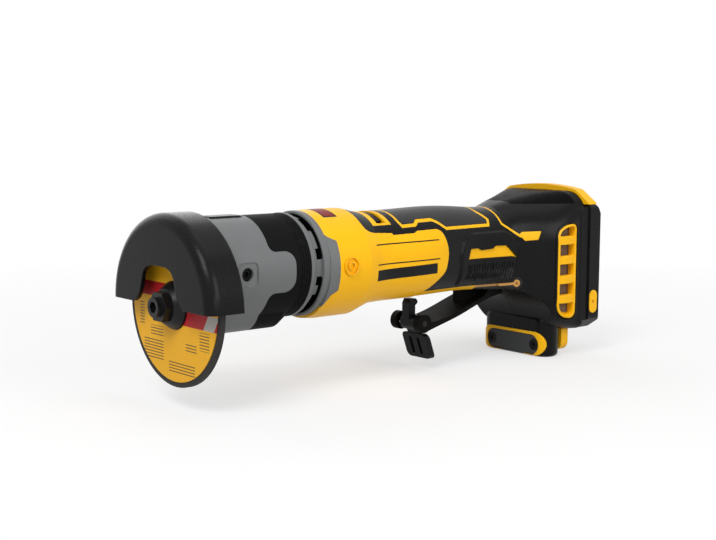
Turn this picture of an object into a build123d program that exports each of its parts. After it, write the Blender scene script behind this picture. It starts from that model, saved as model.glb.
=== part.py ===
from build123d import *
import os
from math import acos, cos, pi, radians, sin, sqrt, tan

# In-line cordless cut-off tool. X runs along the tool: the wheel is at -X and the battery rails
# at +X. Stations are millimetres behind the wheel's front face, heights are from the motor axis.
# The row's origin is under the middle of the tool's length, on the plane of the foot's base.

# Fits
running_fit = 0.05
slip_fit = 0.1
free_gap = 0.3

# Wheel, flanges and clamp screw
wheel_radius = 38.0
wheel_thickness = 2.4
wheel_bore = 4.75
label_radius = 35.5
label_thickness = 0.3
flange_radius = 11.0
flange_rim = 1.2
outer_flange_tip_radius = 8.0
outer_flange_depth = 5.4
inner_flange_thickness = 2.6
head_across_flats = 13.0
head_depth = 3.6
tip_radius = 4.6
tip_depth = 2.4
key_across_flats = 5.0
key_depth = 4.0
clamp_thread_radius = 3.0
clamp_thread_length = 22.0

# Gear train: two spur gears between the motor shaft and the spindle below it
gear_module = 0.8
pinion_teeth = 15
spindle_teeth = 21
gear_width = 8.0
pinion_overlap = 0.5
pressure_angle = radians(20)
tooth_backlash = 0.12
tip_factor = 0.95
root_factor = 1.25
spindle_drop = gear_module * (pinion_teeth + spindle_teeth) / 2
spindle_z = -spindle_drop

# Guard and its retainer
guard_sheet = 2.0
guard_radius = 42.6
guard_front_reach = 8.7
guard_edge_round = 5.5
guard_edge_height = 0.5
guard_hub_radius = 20.0
guard_play = 0.2
notch_half_width = 23.4
notch_waist = 13.7
notch_waist_height = 12.2
notch_top = 18.7
guard_hub_overlap = 1.0
retainer_clearance = 0.6
retainer_thickness = 1.4
retainer_radius = 17.5
boss_radius = 14.5
retainer_screw_ring = 11.2
retainer_screw_radius = 1.25
retainer_screw_length = 4.0

# Nose: an inner gear case with a shell over its front half
nose_length = 27.5
collar_length = 23.3
nose_radius = 25.2
shell_wall = 2.6
lobe_radius = 15.6
lobe_back = 15.0
lobe_taper = 8.0
tongue_length = 14.2
tongue_top = 9.4
tongue_bottom = -10.0
tongue_round = 6.0
tongue_root_round = 3.6
nose_screw_x = 14.5
nose_screw_head = 2.9
nose_screw_radius = 1.9
nose_screw_length = 9.0
nose_screw_recess = 4.6
nose_screw_head_depth = 2.2
nose_screw_key = 1.5
screw_pocket_size = 11.0
screw_pocket_round = 2.5
screw_pocket_depth = 0.9
collar_lines = 4
collar_line_setback = 1.2
collar_line_pitch = 1.4
collar_line_width = 0.5
collar_line_depth = 0.35

# Spindle and its bearings
spindle_radius = 4.0
shoulder_radius = 7.0
spindle_tail_radius = 3.0
front_bearing_radius = 11.0
front_bearing_width = 7.0
front_bearing_wall = 2.5
tail_bearing_radius = 6.5
tail_bearing_width = 5.0
tail_bearing_wall = 2.0
bearing_lip = 1.0
bearing_gap = 2.5
pinion_end_gap = 2.0
pinion_room_radius = 12.0
gear_setback = 5.2

# Spindle lock
lock_setback = 16.5
lock_pin_radius = 1.6
lock_hole_radius = 2.0
lock_cap_length = 18.0
lock_cap_width = 10.0
lock_cap_height = 3.2
lock_cap_proud = 0.4
lock_cap_round = 2.0
lock_cap_chamfer = 0.6
lock_pocket_depth = 9.4
lock_spring_wire = 0.4
lock_spring_turns = 3
lock_spring_radius = 2.9

# Motor
shaft_radius = 2.5
shaft_hole_gap = 0.8
shaft_stub = 0.5
shaft_tail = 1.5
motor_bearing_radius = 8.0
motor_bearing_width = 5.0
plate_web = 2.0
vent_length = 10.7
vent_radius = 26.0
fan_radius = 19.5
fan_hub_radius = 6.0
fan_disc = 1.5
fan_blades = 11
fan_blade_thickness = 1.2
fan_blade_root = 1.0
fan_end_gap = 2.2
fan_depth = 6.0
motor_bore = 21.5
stator_setback = 5.0
stator_length = 20.0
rotor_radius = 11.4
air_gap = 0.5
slot_count = 6
slot_radius = 3.8
slot_ring = 16.2
slot_mouth = 1.6
winding_inset = 0.6
winding_overhang = 3.0
end_cap_disc = 3.0
end_cap_rim = 1.3
end_cap_step = 1.0
end_cap_boss_wall = 2.5
tail_motor_bearing_radius = 6.5

# Vent ring openings and tabs
vent_spigot = 3.2
vent_spigot_wall = 1.5
vent_lip = 1.9
vent_lip_proud = 0.2
vent_channel_depth = 1.6
vent_channel = 5.3
vent_step = 0.5
vent_stator_gap = 1.0
vent_slot_width = 2.7
vent_slots = ((18, 43), (67, 80), (100, 111), (124, 154))
tab_reach = 5.5
tab_depth = 2.6

# Housing: barrel round the motor, handle, flared foot, lower bay and battery receiver
wall = 3.2
grip_depth = 1.4
barrel_length = 25.0
barrel_radius = 27.0
barrel_drop = 0.8
barrel_front_taper = 0.6
barrel_flat = 0.3
shoulder_length = 9.0
handle_length = 103.0
foot_length = 42.0
receiver_depth = 14.8
receiver_rear_top = 15.0
receiver_chamfer = 4.0
receiver_edge = 1.4
side_step = 0.9
side_step_lead = 1.6
side_step_length = 4.4
side_groove_setback = 5.4
side_groove_width = 1.0
side_groove_depth = 0.8
axis_height = 63.5
bay_setback = 22.0
bay_length = 15.5
bay_half_width = 25.0
bay_corner = 7.5
bay_base_round = 2.5
bay_top_round = 4.5
bay_rise = 24.0
foot_half_width = 33.6
flare_lead = 13.0
flare_lead_z = -19.5
handle_under = -23.2
neck_middle = 16.0
neck_height = -33.0
neck_reach = 23.0
foot_top = 30.6
foot_bottom = -48.0
crown_half = 24.0
crown_drop = 2.2
crown_side = 21.6
receiver_round = 3.0
lower_chamfer = 6.0

# Stations along the tool
inner_flange_back = wheel_thickness + inner_flange_thickness
retainer_front = inner_flange_back + retainer_clearance
boss_front = retainer_front + retainer_thickness
guard_inside = boss_front + guard_play
guard_back = guard_inside + guard_sheet
nose_front = guard_back + free_gap
front_bearing_front = nose_front + front_bearing_wall
front_bearing_back = front_bearing_front + front_bearing_width
nose_back = nose_front + nose_length
collar_back = nose_back + collar_length
gear_back = nose_back + gear_setback
gear_front = gear_back - gear_width
plate_front = gear_back + bearing_gap
tail_bearing_back = plate_front + tail_bearing_width
motor_bearing_front = tail_bearing_back + plate_web
plate_back = motor_bearing_front + motor_bearing_width
barrel_front = collar_back + vent_length
barrel_back = barrel_front + barrel_length
handle_front = barrel_back + shoulder_length
handle_back = handle_front + handle_length
receiver_front = handle_back + foot_length
rear = receiver_front + receiver_depth
screw_tip = -(outer_flange_depth + head_depth + tip_depth)
centre_x = (rear + screw_tip) / 2
stator_front = barrel_front + stator_setback
stator_back = stator_front + stator_length
winding_back = stator_back + winding_overhang
tail_motor_bearing_front = winding_back + end_cap_disc + end_cap_step
tail_motor_bearing_back = tail_motor_bearing_front + motor_bearing_width
shaft_front = gear_front - pinion_overlap - shaft_stub
shaft_back = tail_motor_bearing_back + shaft_tail
bay_front = receiver_front - bay_setback
bay_back = bay_front + bay_length

# Paddle switch, its lock-off lever and the channel they move in
pivot_x = handle_back - 1.0
pivot_z = -18.5
paddle_half_width = 11.0
paddle_boss_radius = 4.8
paddle_pin_radius = 2.0
paddle_pin_half = 16.0
pin_boss_wall = 2.5
channel_gap = 1.2
channel_lead = 9.0
channel_roof = -12.0
channel_wall = 2.0
lever_reach = 59.5
lever_drop = 18.5
lever_x = pivot_x - lever_reach
lever_z = pivot_z - lever_drop
lever_hub_radius = 4.2
lever_hub_half = 6.6
lever_pin_radius = 1.5
ear_radius = 4.9
prong_half_width = 2.6
prong_rise = 12.6
prong_pocket_roof = -9.0
prong_pocket_lead = 11.0
prong_pocket_trail = 6.0
finger_half_width = 9.0
finger_thickness = 3.6
finger_lead = 1.4
finger_top = -6.3
finger_height = 14.0
finger_angle = 20.0
finger_round = 3.0
finger_lap = 1.0
finger_groove_width = 2.2
finger_groove_offset = 3.0
finger_groove_depth = 1.2
finger_groove_inset = 2.4
lever_neck_half = 4.0
lever_slot_gap = 2.2
prong_lead = 4.0
prong_hook = 2.4
prong_neck = 0.8
prong_bevel = 1.2
paddle_spring_wire = 0.5
paddle_spring_radius = 3.2
paddle_spring_room = 4.4
paddle_spring_turns = 2
paddle_plate = 2.4
paddle_rib_half = 3.6
lever_spring_wire = 0.3
lever_spring_radius = 2.3
lever_spring_room = 2.6
lever_spring_turns = 1.5
plunger_setback = 20.0
plunger_radius = 2.5
plunger_length = 14.0
plunger_tip_rise = 1.7
plunger_travel = 3.9
switch_half_width = 8.0
switch_bottom = channel_roof + channel_wall
switch_top = 8.0
switch_half_length = 10.0

# Screws that draw the two halves of the housing together
housing_boss_radius = 4.0
housing_screw_radius = 1.6
housing_screw_head = 3.0
housing_screw_head_depth = 2.4
housing_screw_seat = 11.0
housing_screw_length = 20.0
housing_screw_key = 1.5
housing_screw_points = (
    (handle_front + 18.5, 5.0),
    (handle_front + 18.5, -15.0),
    (handle_front + 53.5, 12.0),
    (handle_back - 35.0, 15.0),
    (handle_back - 5.0, 8.0),
    (receiver_front - 14.0, 18.0),
    (receiver_front - 14.0, -44.5),
)

# Direction selector on the crown and the label in front of it
selector_front = handle_front + 4.3
selector_length = 5.6
selector_angle = 34.0
selector_swing = 6.0
selector_sink = 0.8
selector_foot = 1.6
selector_play = 1.0
selector_centre_z = 0.6
selector_frame_front = 0.5
selector_frame_length = 12.6
selector_frame_low = 17.6
pad_line = 1.6
foot_line = 1.3
pivot_ring = 3.2
label_setback = 6.0
label_length = 8.6
label_half_width = 13.0
label_inlay = 0.4

# Foot fittings
grille_length = 14.4
grille_setback = 21.4
grille_bottom = -41.0
grille_top = 11.6
grille_corner = 6.0
grille_edge_round = 4.0
grille_rim = 1.8
grille_room = 9.8
grille_openings = 5
grille_bar = 4.6
plate_half_width = 19.8
plate_bottom = -62.6
plate_top = -50.8
plate_screw_y = 16.2
plate_screw_z = -56.6
plate_screw_head = 2.5
plate_screw_head_depth = 1.6
plate_screw_key = 1.3
plate_screw_radius = 1.4
plate_screw_length = 6.0
bay_frame_proud = 0.6
bay_frame_sink = 1.6
bay_frame_top = -49.2
bay_frame_bottom = -62.9
bay_frame_width = 3.6
bay_frame_wrap = 5.5
bay_mouth_half = 8.5
catch_thickness = 5.6
catch_half_width = 23.0
catch_round = 5.0
catch_gap = 0.5
catch_bottom = -61.0
strip_thickness = 3.2
strip_length = 6.6
strip_end = 23.4
rail_half_width = 24.0
rail_lip = 3.5
rail_lip_depth = 3.3
rail_depth = 8.8
rail_top = 16.0
spigot_half_width = 26.0
spigot_top = 20.0
spigot_bottom = -38.0
spigot_depth = 4.0
plug_length = 6.4
plug_height = 13.0
plug_setback = 9.8
plug_z = -32.5
plug_depth = 1.4
plug_hole_radius = 0.9
plug_hole_depth = 1.2
plug_proud = 0.4
blade_count = 5
blade_pitch = 5.6
blade_thickness = 0.8
blade_length = 10.0
blade_reach = 4.0
terminal_half_width = 14.0
terminal_low = -6.0
terminal_height = 16.0
terminal_depth = 10.0
terminal_proud = 2.0
controller_setback = 28.0
controller_length = 20.0
controller_half_width = 12.5
controller_height = 21.0


def station(x):
    """Plane across the tool: local x is +Y, local y is height above the motor axis."""
    return Plane(origin=(x - centre_x, 0, axis_height), x_dir=(0, 1, 0), z_dir=(1, 0, 0))


def side(y):
    """Plane along the tool: local x is the station, local y the height, and it faces -Y."""
    return Plane(origin=(-centre_x, y, axis_height), x_dir=(1, 0, 0), z_dir=(0, -1, 0))


def plan(z):
    """Level plane: local x is the station, local y is +Y."""
    return Plane(origin=(-centre_x, 0, axis_height + z), x_dir=(1, 0, 0), z_dir=(0, 0, 1))


def sleeve(front, back, radius, bore, axis_z=0.0):
    """Plain ring or tube along X."""
    with BuildPart() as piece:
        with BuildSketch(station(front)):
            with Locations((0, axis_z)):
                Circle(radius)
                if bore:
                    Circle(bore, mode=Mode.SUBTRACT)
        extrude(amount=back - front)
    return piece.part


def turned(outline, axis_z=0.0):
    """Lathe-turned piece along X: the outline lists (station, radius) corners."""
    with BuildPart() as piece:
        with BuildSketch(side(0)):
            with BuildLine():
                Polyline([(x, axis_z + r) for x, r in outline], close=True)
            make_face()
        revolve(axis=Axis((0, 0, axis_height + axis_z), (1, 0, 0)))
    return piece.part


def cross_bar(outline, half_width, round_radius=0.0):
    """Prism across the tool with a side outline of (station, height) corners."""
    with BuildPart() as piece:
        with BuildSketch(side(0)) as face:
            with BuildLine():
                Polyline(outline, close=True)
            make_face()
            if round_radius:
                fillet(face.vertices(), round_radius)
        extrude(amount=half_width, both=True)
    return piece.part


def cross_pin(x, z, radius, y_low, y_high):
    """Round bar across the tool."""
    with BuildPart() as piece:
        with BuildSketch(side(y_high)):
            with Locations((x, z)):
                Circle(radius)
        extrude(amount=y_high - y_low)
    return piece.part


def box(x_low, x_high, half_width, z_low, z_high):
    """Upright block on the tool's middle plane."""
    with BuildPart() as piece:
        with BuildSketch(plan(z_low)):
            with Locations(((x_low + x_high) / 2, 0)):
                Rectangle(x_high - x_low, 2 * half_width)
        extrude(amount=z_high - z_low)
    return piece.part


def coil_spring(base, mean_radius, wire_radius, length, turns):
    """Round-wire coil along the base plane's normal: each quarter turn is two tangent arcs."""
    pitch = length / turns

    def point(turn):
        angle = 2 * pi * turn
        return base.from_local_coords(
            Vector(mean_radius * cos(angle), mean_radius * sin(angle), pitch * turn)
        )

    def heading(turn):
        angle = 2 * pi * turn
        slope = Vector(-2 * pi * mean_radius * sin(angle), 2 * pi * mean_radius * cos(angle), pitch)
        return (base.from_local_coords(slope) - base.origin).normalized()

    with BuildPart() as piece:
        with BuildLine():
            for quarter in range(int(4 * turns)):
                start, end = quarter / 4, (quarter + 1) / 4
                first, last = heading(start), heading(end)
                chord = point(end) - point(start)
                both = first + last
                spread = 2 * (1 - first.dot(last))
                along = chord.dot(both)
                reach = (sqrt(along**2 + spread * chord.dot(chord)) - along) / spread
                before = point(start) + first * reach
                after = point(end) - last * reach
                middle = (before + after) * 0.5
                TangentArc(point(start), middle, tangent=first)
                TangentArc(middle, point(end), tangent=after - before)
        with BuildSketch(Plane(origin=point(0), z_dir=heading(0))):
            Circle(wire_radius)
        sweep()
    print("coil gap", round(pitch - 2 * wire_radius, 2), "mm")
    return piece.part


def gear(teeth, front, width, bore, axis_z, first_tooth):
    """Involute spur gear with a bore; first_tooth is a tooth's direction in radians."""
    pitch_radius = gear_module * teeth / 2
    base_radius = pitch_radius * cos(pressure_angle)
    tip = pitch_radius + tip_factor * gear_module
    root = pitch_radius - root_factor * gear_module
    half_tooth = pi / (2 * teeth) - tooth_backlash / (2 * pitch_radius)
    involute = tan(pressure_angle) - pressure_angle
    flank_steps = 4
    flank_start = max(base_radius, root)
    flank = [(root, half_tooth + involute)]
    for step in range(flank_steps + 1):
        radius = flank_start + (tip - flank_start) * step / flank_steps
        roll = acos(min(1.0, base_radius / radius))
        flank.append((radius, half_tooth + involute - (tan(roll) - roll)))
    corners = []
    for tooth in range(teeth):
        middle = first_tooth + 2 * pi * tooth / teeth
        corners += [(r, middle - a) for r, a in flank]
        corners += [(r, middle + a) for r, a in reversed(flank)]
    with BuildPart() as piece:
        with BuildSketch(station(front)):
            with BuildLine():
                Polyline([(r * cos(a), axis_z + r * sin(a)) for r, a in corners], close=True)
            make_face()
            with Locations((0, axis_z)):
                Circle(bore, mode=Mode.SUBTRACT)
        extrude(amount=width)
    return piece.part


def screw_along(plane, head_radius, head_depth_, shank_radius, length, key):
    """Socket screw: the head stands on the plane's positive side, the shank on the other."""
    with BuildPart() as piece:
        with BuildSketch(plane):
            Circle(head_radius)
        extrude(amount=head_depth_)
        with BuildSketch(plane):
            Circle(shank_radius)
        extrude(amount=-length)
        with BuildSketch(plane.offset(head_depth_)):
            RegularPolygon(key, 6)
        extrude(amount=-head_depth_ * 0.6, mode=Mode.SUBTRACT)
    return piece.part


pieces = {}

# Cutting wheel, label, flanges and clamp screw
pieces["cutting_wheel"] = sleeve(0, wheel_thickness, wheel_radius, wheel_bore, spindle_z)
pieces["wheel_label"] = sleeve(
    -label_thickness, 0, label_radius, flange_radius + free_gap, spindle_z
)
clamp_hole = clamp_thread_radius + running_fit
pieces["outer_flange"] = turned(
    [
        (0, clamp_hole),
        (0, flange_radius),
        (-flange_rim, flange_radius),
        (-outer_flange_depth, outer_flange_tip_radius),
        (-outer_flange_depth, clamp_hole),
    ],
    spindle_z,
)
with BuildPart() as clamp_screw:
    with BuildSketch(station(-outer_flange_depth)):
        with Locations((0, spindle_z)):
            RegularPolygon(head_across_flats / 2, 6, major_radius=False)
    extrude(amount=-head_depth)
    with BuildSketch(station(-outer_flange_depth - head_depth)):
        with Locations((0, spindle_z)):
            Circle(tip_radius)
    extrude(amount=-tip_depth)
    with BuildSketch(station(-outer_flange_depth)):
        with Locations((0, spindle_z)):
            Circle(clamp_thread_radius)
    extrude(amount=clamp_thread_length)
    with BuildSketch(station(screw_tip)):
        with Locations((0, spindle_z)):
            RegularPolygon(key_across_flats / 2, 6, major_radius=False)
    extrude(amount=key_depth, mode=Mode.SUBTRACT)
pieces["clamp_screw"] = clamp_screw.part
pilot_radius = wheel_bore - running_fit
pieces["inner_flange"] = sleeve(
    wheel_thickness, inner_flange_back, flange_radius, pilot_radius + running_fit, spindle_z
)

# Spindle: pilot for the wheel, shoulder, gear seat and tail, cross-drilled for the lock pin
thread_end = clamp_thread_length - outer_flange_depth
lock_x = nose_front + lock_setback
spindle_blank = turned(
    [
        (free_gap, clamp_hole),
        (free_gap, pilot_radius),
        (inner_flange_back, pilot_radius),
        (inner_flange_back, shoulder_radius),
        (front_bearing_front - slip_fit, shoulder_radius),
        (front_bearing_front - slip_fit, spindle_radius),
        (plate_front - slip_fit, spindle_radius),
        (plate_front - slip_fit, spindle_tail_radius),
        (tail_bearing_back, spindle_tail_radius),
        (tail_bearing_back, 0),
        (thread_end + free_gap, 0),
        (thread_end + free_gap, clamp_hole),
    ],
    spindle_z,
)
with BuildPart() as spindle:
    add(spindle_blank)
    with Locations(plan(spindle_z).location * Location((lock_x, 0, 0))):
        Cylinder(lock_hole_radius, 2 * shoulder_radius, mode=Mode.SUBTRACT)
        Cylinder(lock_hole_radius, 2 * shoulder_radius, rotation=(90, 0, 0), mode=Mode.SUBTRACT)
pieces["spindle"] = spindle.part
pieces["spindle_gear"] = gear(
    spindle_teeth, gear_front, gear_width, spindle_radius + running_fit / 2, spindle_z,
    pi / 2 + pi / spindle_teeth,
)
pieces["spindle_front_bearing"] = sleeve(
    front_bearing_front, front_bearing_back, front_bearing_radius, spindle_radius + running_fit,
    spindle_z,
)
pieces["spindle_rear_bearing"] = sleeve(
    plate_front, tail_bearing_back, tail_bearing_radius, spindle_tail_radius + running_fit, spindle_z
)

# Guard: half a drum with an arched window in front and a full hub ring behind
guard_drum = turned(
    [
        (-guard_front_reach, 0), (-guard_front_reach, guard_radius),
        (guard_back, guard_radius), (guard_back, 0),
    ],
    spindle_z,
)
guard_hollow = turned(
    [
        (-guard_front_reach + guard_sheet, 0),
        (-guard_front_reach + guard_sheet, guard_radius - guard_sheet),
        (guard_inside, guard_radius - guard_sheet), (guard_inside, 0),
    ],
    spindle_z,
)
guard_inner_round = guard_edge_round - guard_sheet


def round_front_rim(blank, radius):
    """Round the front outer rim of a turned drum."""
    with BuildPart() as drum:
        add(blank)
        rim = drum.edges().filter_by(GeomType.CIRCLE).group_by(Axis.X)[0]
        fillet(rim.sort_by(SortBy.RADIUS)[-1], radius)
    return drum.part


guard_drum = round_front_rim(guard_drum, guard_edge_round)
guard_hollow = round_front_rim(guard_hollow, guard_inner_round)
hub_ring = sleeve(guard_inside, guard_back, guard_hub_radius, boss_radius + running_fit, spindle_z)
with BuildPart() as wheel_guard:
    add(guard_drum)
    add(guard_hollow, mode=Mode.SUBTRACT)
    with BuildSketch(station(-guard_front_reach)):
        with Locations((0, spindle_z + guard_edge_height)):
            Rectangle(3 * guard_radius, 3 * guard_radius, align=(Align.CENTER, Align.MAX))
    extrude(amount=guard_front_reach + guard_back, mode=Mode.SUBTRACT)
    with BuildSketch(station(-guard_front_reach)):
        with BuildLine():
            foot_left = (-notch_half_width, spindle_z)
            waist_left = (-notch_waist, spindle_z + notch_waist_height)
            crown = (0, spindle_z + notch_top)
            waist_right = (notch_waist, spindle_z + notch_waist_height)
            foot_right = (notch_half_width, spindle_z)
            flare_left = Spline(foot_left, waist_left, tangents=((1, 0.15), (0.25, 1)))
            Spline(flare_left @ 1, crown, waist_right, tangents=((0.25, 1), (0.25, -1)))
            Spline(waist_right, foot_right, tangents=((0.25, -1), (1, -0.15)))
            Line(foot_right, foot_left)
        make_face()
    extrude(amount=guard_sheet * 2, mode=Mode.SUBTRACT)
    with BuildSketch(station(guard_inside)):
        with Locations((0, spindle_z)):
            Circle(guard_hub_radius - guard_hub_overlap)
    extrude(amount=guard_sheet, mode=Mode.SUBTRACT)
    add(hub_ring)
pieces["wheel_guard"] = wheel_guard.part

# Retainer that keeps the guard on the gear case's boss, with its three screws
with BuildPart() as guard_retainer:
    with BuildSketch(station(retainer_front)):
        with Locations((0, spindle_z)):
            Circle(retainer_radius)
            Circle(shoulder_radius + free_gap, mode=Mode.SUBTRACT)
            with PolarLocations(retainer_screw_ring, 3, start_angle=90):
                Circle(retainer_screw_radius + running_fit, mode=Mode.SUBTRACT)
    extrude(amount=retainer_thickness)
pieces["guard_retainer"] = guard_retainer.part
with BuildPart() as retainer_screws:
    with BuildSketch(station(retainer_front)):
        with Locations((0, spindle_z)):
            with PolarLocations(retainer_screw_ring, 3, start_angle=90):
                Circle(retainer_screw_radius)
    extrude(amount=retainer_screw_length)
pieces["retainer_screws"] = retainer_screws.part

# Nose outline shared by the gear case and the shell: a round body with a lobe round the spindle


def nose_body(inset, front, back):
    """Round nose with the spindle lobe below it, drawn in by the inset."""
    lobe_end = nose_back + lobe_back
    lobe_out = lobe_end + lobe_taper
    lobe = turned(
        [
            (front, 0), (front, lobe_radius - inset), (lobe_end, lobe_radius - inset),
            (lobe_out, nose_radius - inset - spindle_drop), (lobe_out, 0),
        ],
        spindle_z,
    )
    with BuildPart() as body:
        with BuildSketch(station(front)):
            Circle(nose_radius - inset)
        extrude(amount=collar_back - front)
        add(lobe)
        split(bisect_by=station(back), keep=Keep.BOTTOM)
    return body.part


def tongue_prism(gap):
    """Side view of the shell: everything in front of the collar and a round-ended tongue."""
    with BuildPart() as prism:
        with BuildSketch(side(0)) as face:
            with BuildLine():
                reach = nose_radius * 2
                root = nose_back + gap
                tip = nose_back + tongue_length + gap
                Polyline(
                    (boss_front, reach), (root, reach), (root, tongue_top + gap), (tip, tongue_top + gap),
                    (tip, tongue_bottom - gap), (root, tongue_bottom - gap), (root, -reach),
                    (boss_front, -reach), close=True,
                )
            make_face()
            corners = face.vertices().sort_by(Axis.X)
            fillet(corners[-2:], tongue_round)
            roots = face.vertices().filter_by(
                lambda v: abs(v.X - root) < slip_fit and abs(v.Y) < nose_radius
            )
            fillet(roots, tongue_root_round)
        extrude(amount=nose_radius * 2, both=True)
    return prism.part


lock_pocket_z = nose_radius - lock_pocket_depth
lock_cap_top = nose_radius + lock_cap_proud
lock_pin_tip = spindle_z + spindle_radius + free_gap
outer_nose = nose_body(0, nose_front, collar_back)
core_nose = nose_body(shell_wall, nose_front, collar_back)
shell_prism = tongue_prism(0)
core_prism = tongue_prism(slip_fit)
guard_boss = sleeve(boss_front, nose_front, boss_radius, shoulder_radius + free_gap, spindle_z)
front_bearing_room = sleeve(
    front_bearing_front, front_bearing_back, front_bearing_radius, 0, spindle_z
)
gear_room = sleeve(
    front_bearing_back - slip_fit, plate_front, front_bearing_radius - bearing_lip, 0, spindle_z
)
pinion_room = sleeve(shaft_front - pinion_end_gap, plate_front, pinion_room_radius, 0)
plate_room = sleeve(plate_front - slip_fit, collar_back, motor_bore, 0)
plate_lobe_room = sleeve(
    plate_front - slip_fit, plate_back, tail_bearing_radius + tail_bearing_wall, 0, spindle_z
)
shoulder_room = sleeve(
    boss_front - slip_fit, front_bearing_front + slip_fit, shoulder_radius + free_gap, 0, spindle_z
)
lock_pocket = box(
    lock_x - lock_cap_length / 2 - free_gap, lock_x + lock_cap_length / 2 + free_gap,
    lock_cap_width / 2 + free_gap, lock_pocket_z, nose_radius * 2,
)
with BuildPart() as lock_pin_bore:
    with BuildSketch(plan(spindle_z)):
        with Locations((lock_x, 0)):
            Circle(lock_pin_radius + running_fit)
    extrude(amount=nose_radius * 2)


def side_plane(x, facing, depth):
    """Plane that faces out to one side of the tool, at motor height."""
    return Plane(
        origin=(x - centre_x, facing * depth, axis_height), x_dir=(1, 0, 0), z_dir=(0, facing, 0)
    )


nose_screw_seats = [
    side_plane(nose_front + nose_screw_x, facing, nose_radius - nose_screw_recess) for facing in (-1, 1)
]
with BuildPart() as nose_screw_rooms:
    for seat in nose_screw_seats:
        with BuildSketch(seat):
            Circle(nose_screw_head + free_gap)
        extrude(amount=nose_radius)
        with BuildSketch(seat):
            Circle(nose_screw_radius + running_fit)
        extrude(amount=-nose_screw_length - free_gap)

with BuildPart() as gear_case:
    add(core_nose)
    add(guard_boss)
    add(front_bearing_room, mode=Mode.SUBTRACT)
    add(gear_room, mode=Mode.SUBTRACT)
    add(pinion_room, mode=Mode.SUBTRACT)
    add(plate_room, mode=Mode.SUBTRACT)
    add(plate_lobe_room, mode=Mode.SUBTRACT)
    add(shoulder_room, mode=Mode.SUBTRACT)
    add(lock_pocket, mode=Mode.SUBTRACT)
    add(lock_pin_bore.part, mode=Mode.SUBTRACT)
    with BuildSketch(station(boss_front)):
        with Locations((0, spindle_z)):
            with PolarLocations(retainer_screw_ring, 3, start_angle=90):
                Circle(retainer_screw_radius + running_fit)
    extrude(amount=retainer_screw_length - retainer_thickness + free_gap, mode=Mode.SUBTRACT)
    add(nose_screw_rooms.part, mode=Mode.SUBTRACT)
pieces["gear_case"] = gear_case.part
with BuildPart() as line_cuts:
    for index in range(collar_lines):
        line_back = collar_back - collar_line_setback - index * collar_line_pitch
        add(sleeve(line_back - collar_line_width, line_back, nose_radius * 2, 0))
    add(nose_body(collar_line_depth, nose_back, collar_back), mode=Mode.SUBTRACT)
with BuildPart() as nose_collar:
    add(outer_nose)
    add(core_prism, mode=Mode.SUBTRACT)
    add(core_nose, mode=Mode.SUBTRACT)
    add(line_cuts.part, mode=Mode.SUBTRACT)
pieces["nose_collar"] = nose_collar.part

with BuildPart() as nose_shell:
    add(outer_nose)
    add(core_nose, mode=Mode.SUBTRACT)
    add(shell_prism, mode=Mode.INTERSECT)
    add(lock_pocket, mode=Mode.SUBTRACT)
    add(nose_screw_rooms.part, mode=Mode.SUBTRACT)
    for facing in (-1, 1):
        with BuildSketch(
            side_plane(nose_front + nose_screw_x, facing, nose_radius - screw_pocket_depth)
        ):
            RectangleRounded(screw_pocket_size, screw_pocket_size, screw_pocket_round)
        extrude(amount=shell_wall, mode=Mode.SUBTRACT)
pieces["nose_shell"] = nose_shell.part


# Spindle lock: a cap over the nose with a pin that drops into the spindle's cross hole
lock_cap_bottom = lock_cap_top - lock_cap_height
with BuildPart() as spindle_lock:
    with BuildSketch(plan(lock_cap_bottom)):
        with Locations((lock_x, 0)):
            RectangleRounded(lock_cap_length, lock_cap_width, lock_cap_round)
    extrude(amount=lock_cap_height)
    chamfer(spindle_lock.faces().sort_by(Axis.Z)[-1].edges(), lock_cap_chamfer)
    with BuildSketch(plan(lock_pin_tip)):
        with Locations((lock_x, 0)):
            Circle(lock_pin_radius)
    extrude(amount=lock_cap_bottom - lock_pin_tip)
pieces["spindle_lock_button"] = spindle_lock.part
lock_spring_base = plan(lock_pocket_z + lock_spring_wire + running_fit)
lock_spring_length = lock_cap_bottom - lock_pocket_z - 2 * (lock_spring_wire + running_fit)
pieces["spindle_lock_spring"] = coil_spring(
    Plane(
        origin=lock_spring_base.origin + Vector(lock_x, 0, 0), x_dir=(1, 0, 0), z_dir=(0, 0, 1)
    ),
    lock_spring_radius, lock_spring_wire, lock_spring_length, lock_spring_turns,
)

# Screws in the sides of the nose shell
nose_screw_pair = [
    screw_along(
        seat, nose_screw_head, nose_screw_head_depth, nose_screw_radius, nose_screw_length,
        nose_screw_key,
    )
    for seat in nose_screw_seats
]
with BuildPart() as nose_screws:
    add(nose_screw_pair)
pieces["nose_screws"] = nose_screws.part

# Bearing plate between the gears and the motor
with BuildPart() as gear_plate:
    with BuildSketch(station(plate_front)):
        Circle(motor_bore - slip_fit)
        with Locations((0, spindle_z)):
            Circle(tail_bearing_radius + tail_bearing_wall - slip_fit)
    extrude(amount=plate_back - plate_front)
    with BuildSketch(station(plate_front)):
        with Locations((0, spindle_z)):
            Circle(tail_bearing_radius)
    extrude(amount=tail_bearing_width, mode=Mode.SUBTRACT)
    with BuildSketch(station(plate_front)):
        Circle(shaft_radius + shaft_hole_gap)
    extrude(amount=plate_back - plate_front, mode=Mode.SUBTRACT)
    with BuildSketch(station(motor_bearing_front)):
        Circle(motor_bearing_radius)
    extrude(amount=motor_bearing_width, mode=Mode.SUBTRACT)
pieces["gear_plate"] = gear_plate.part

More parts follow.
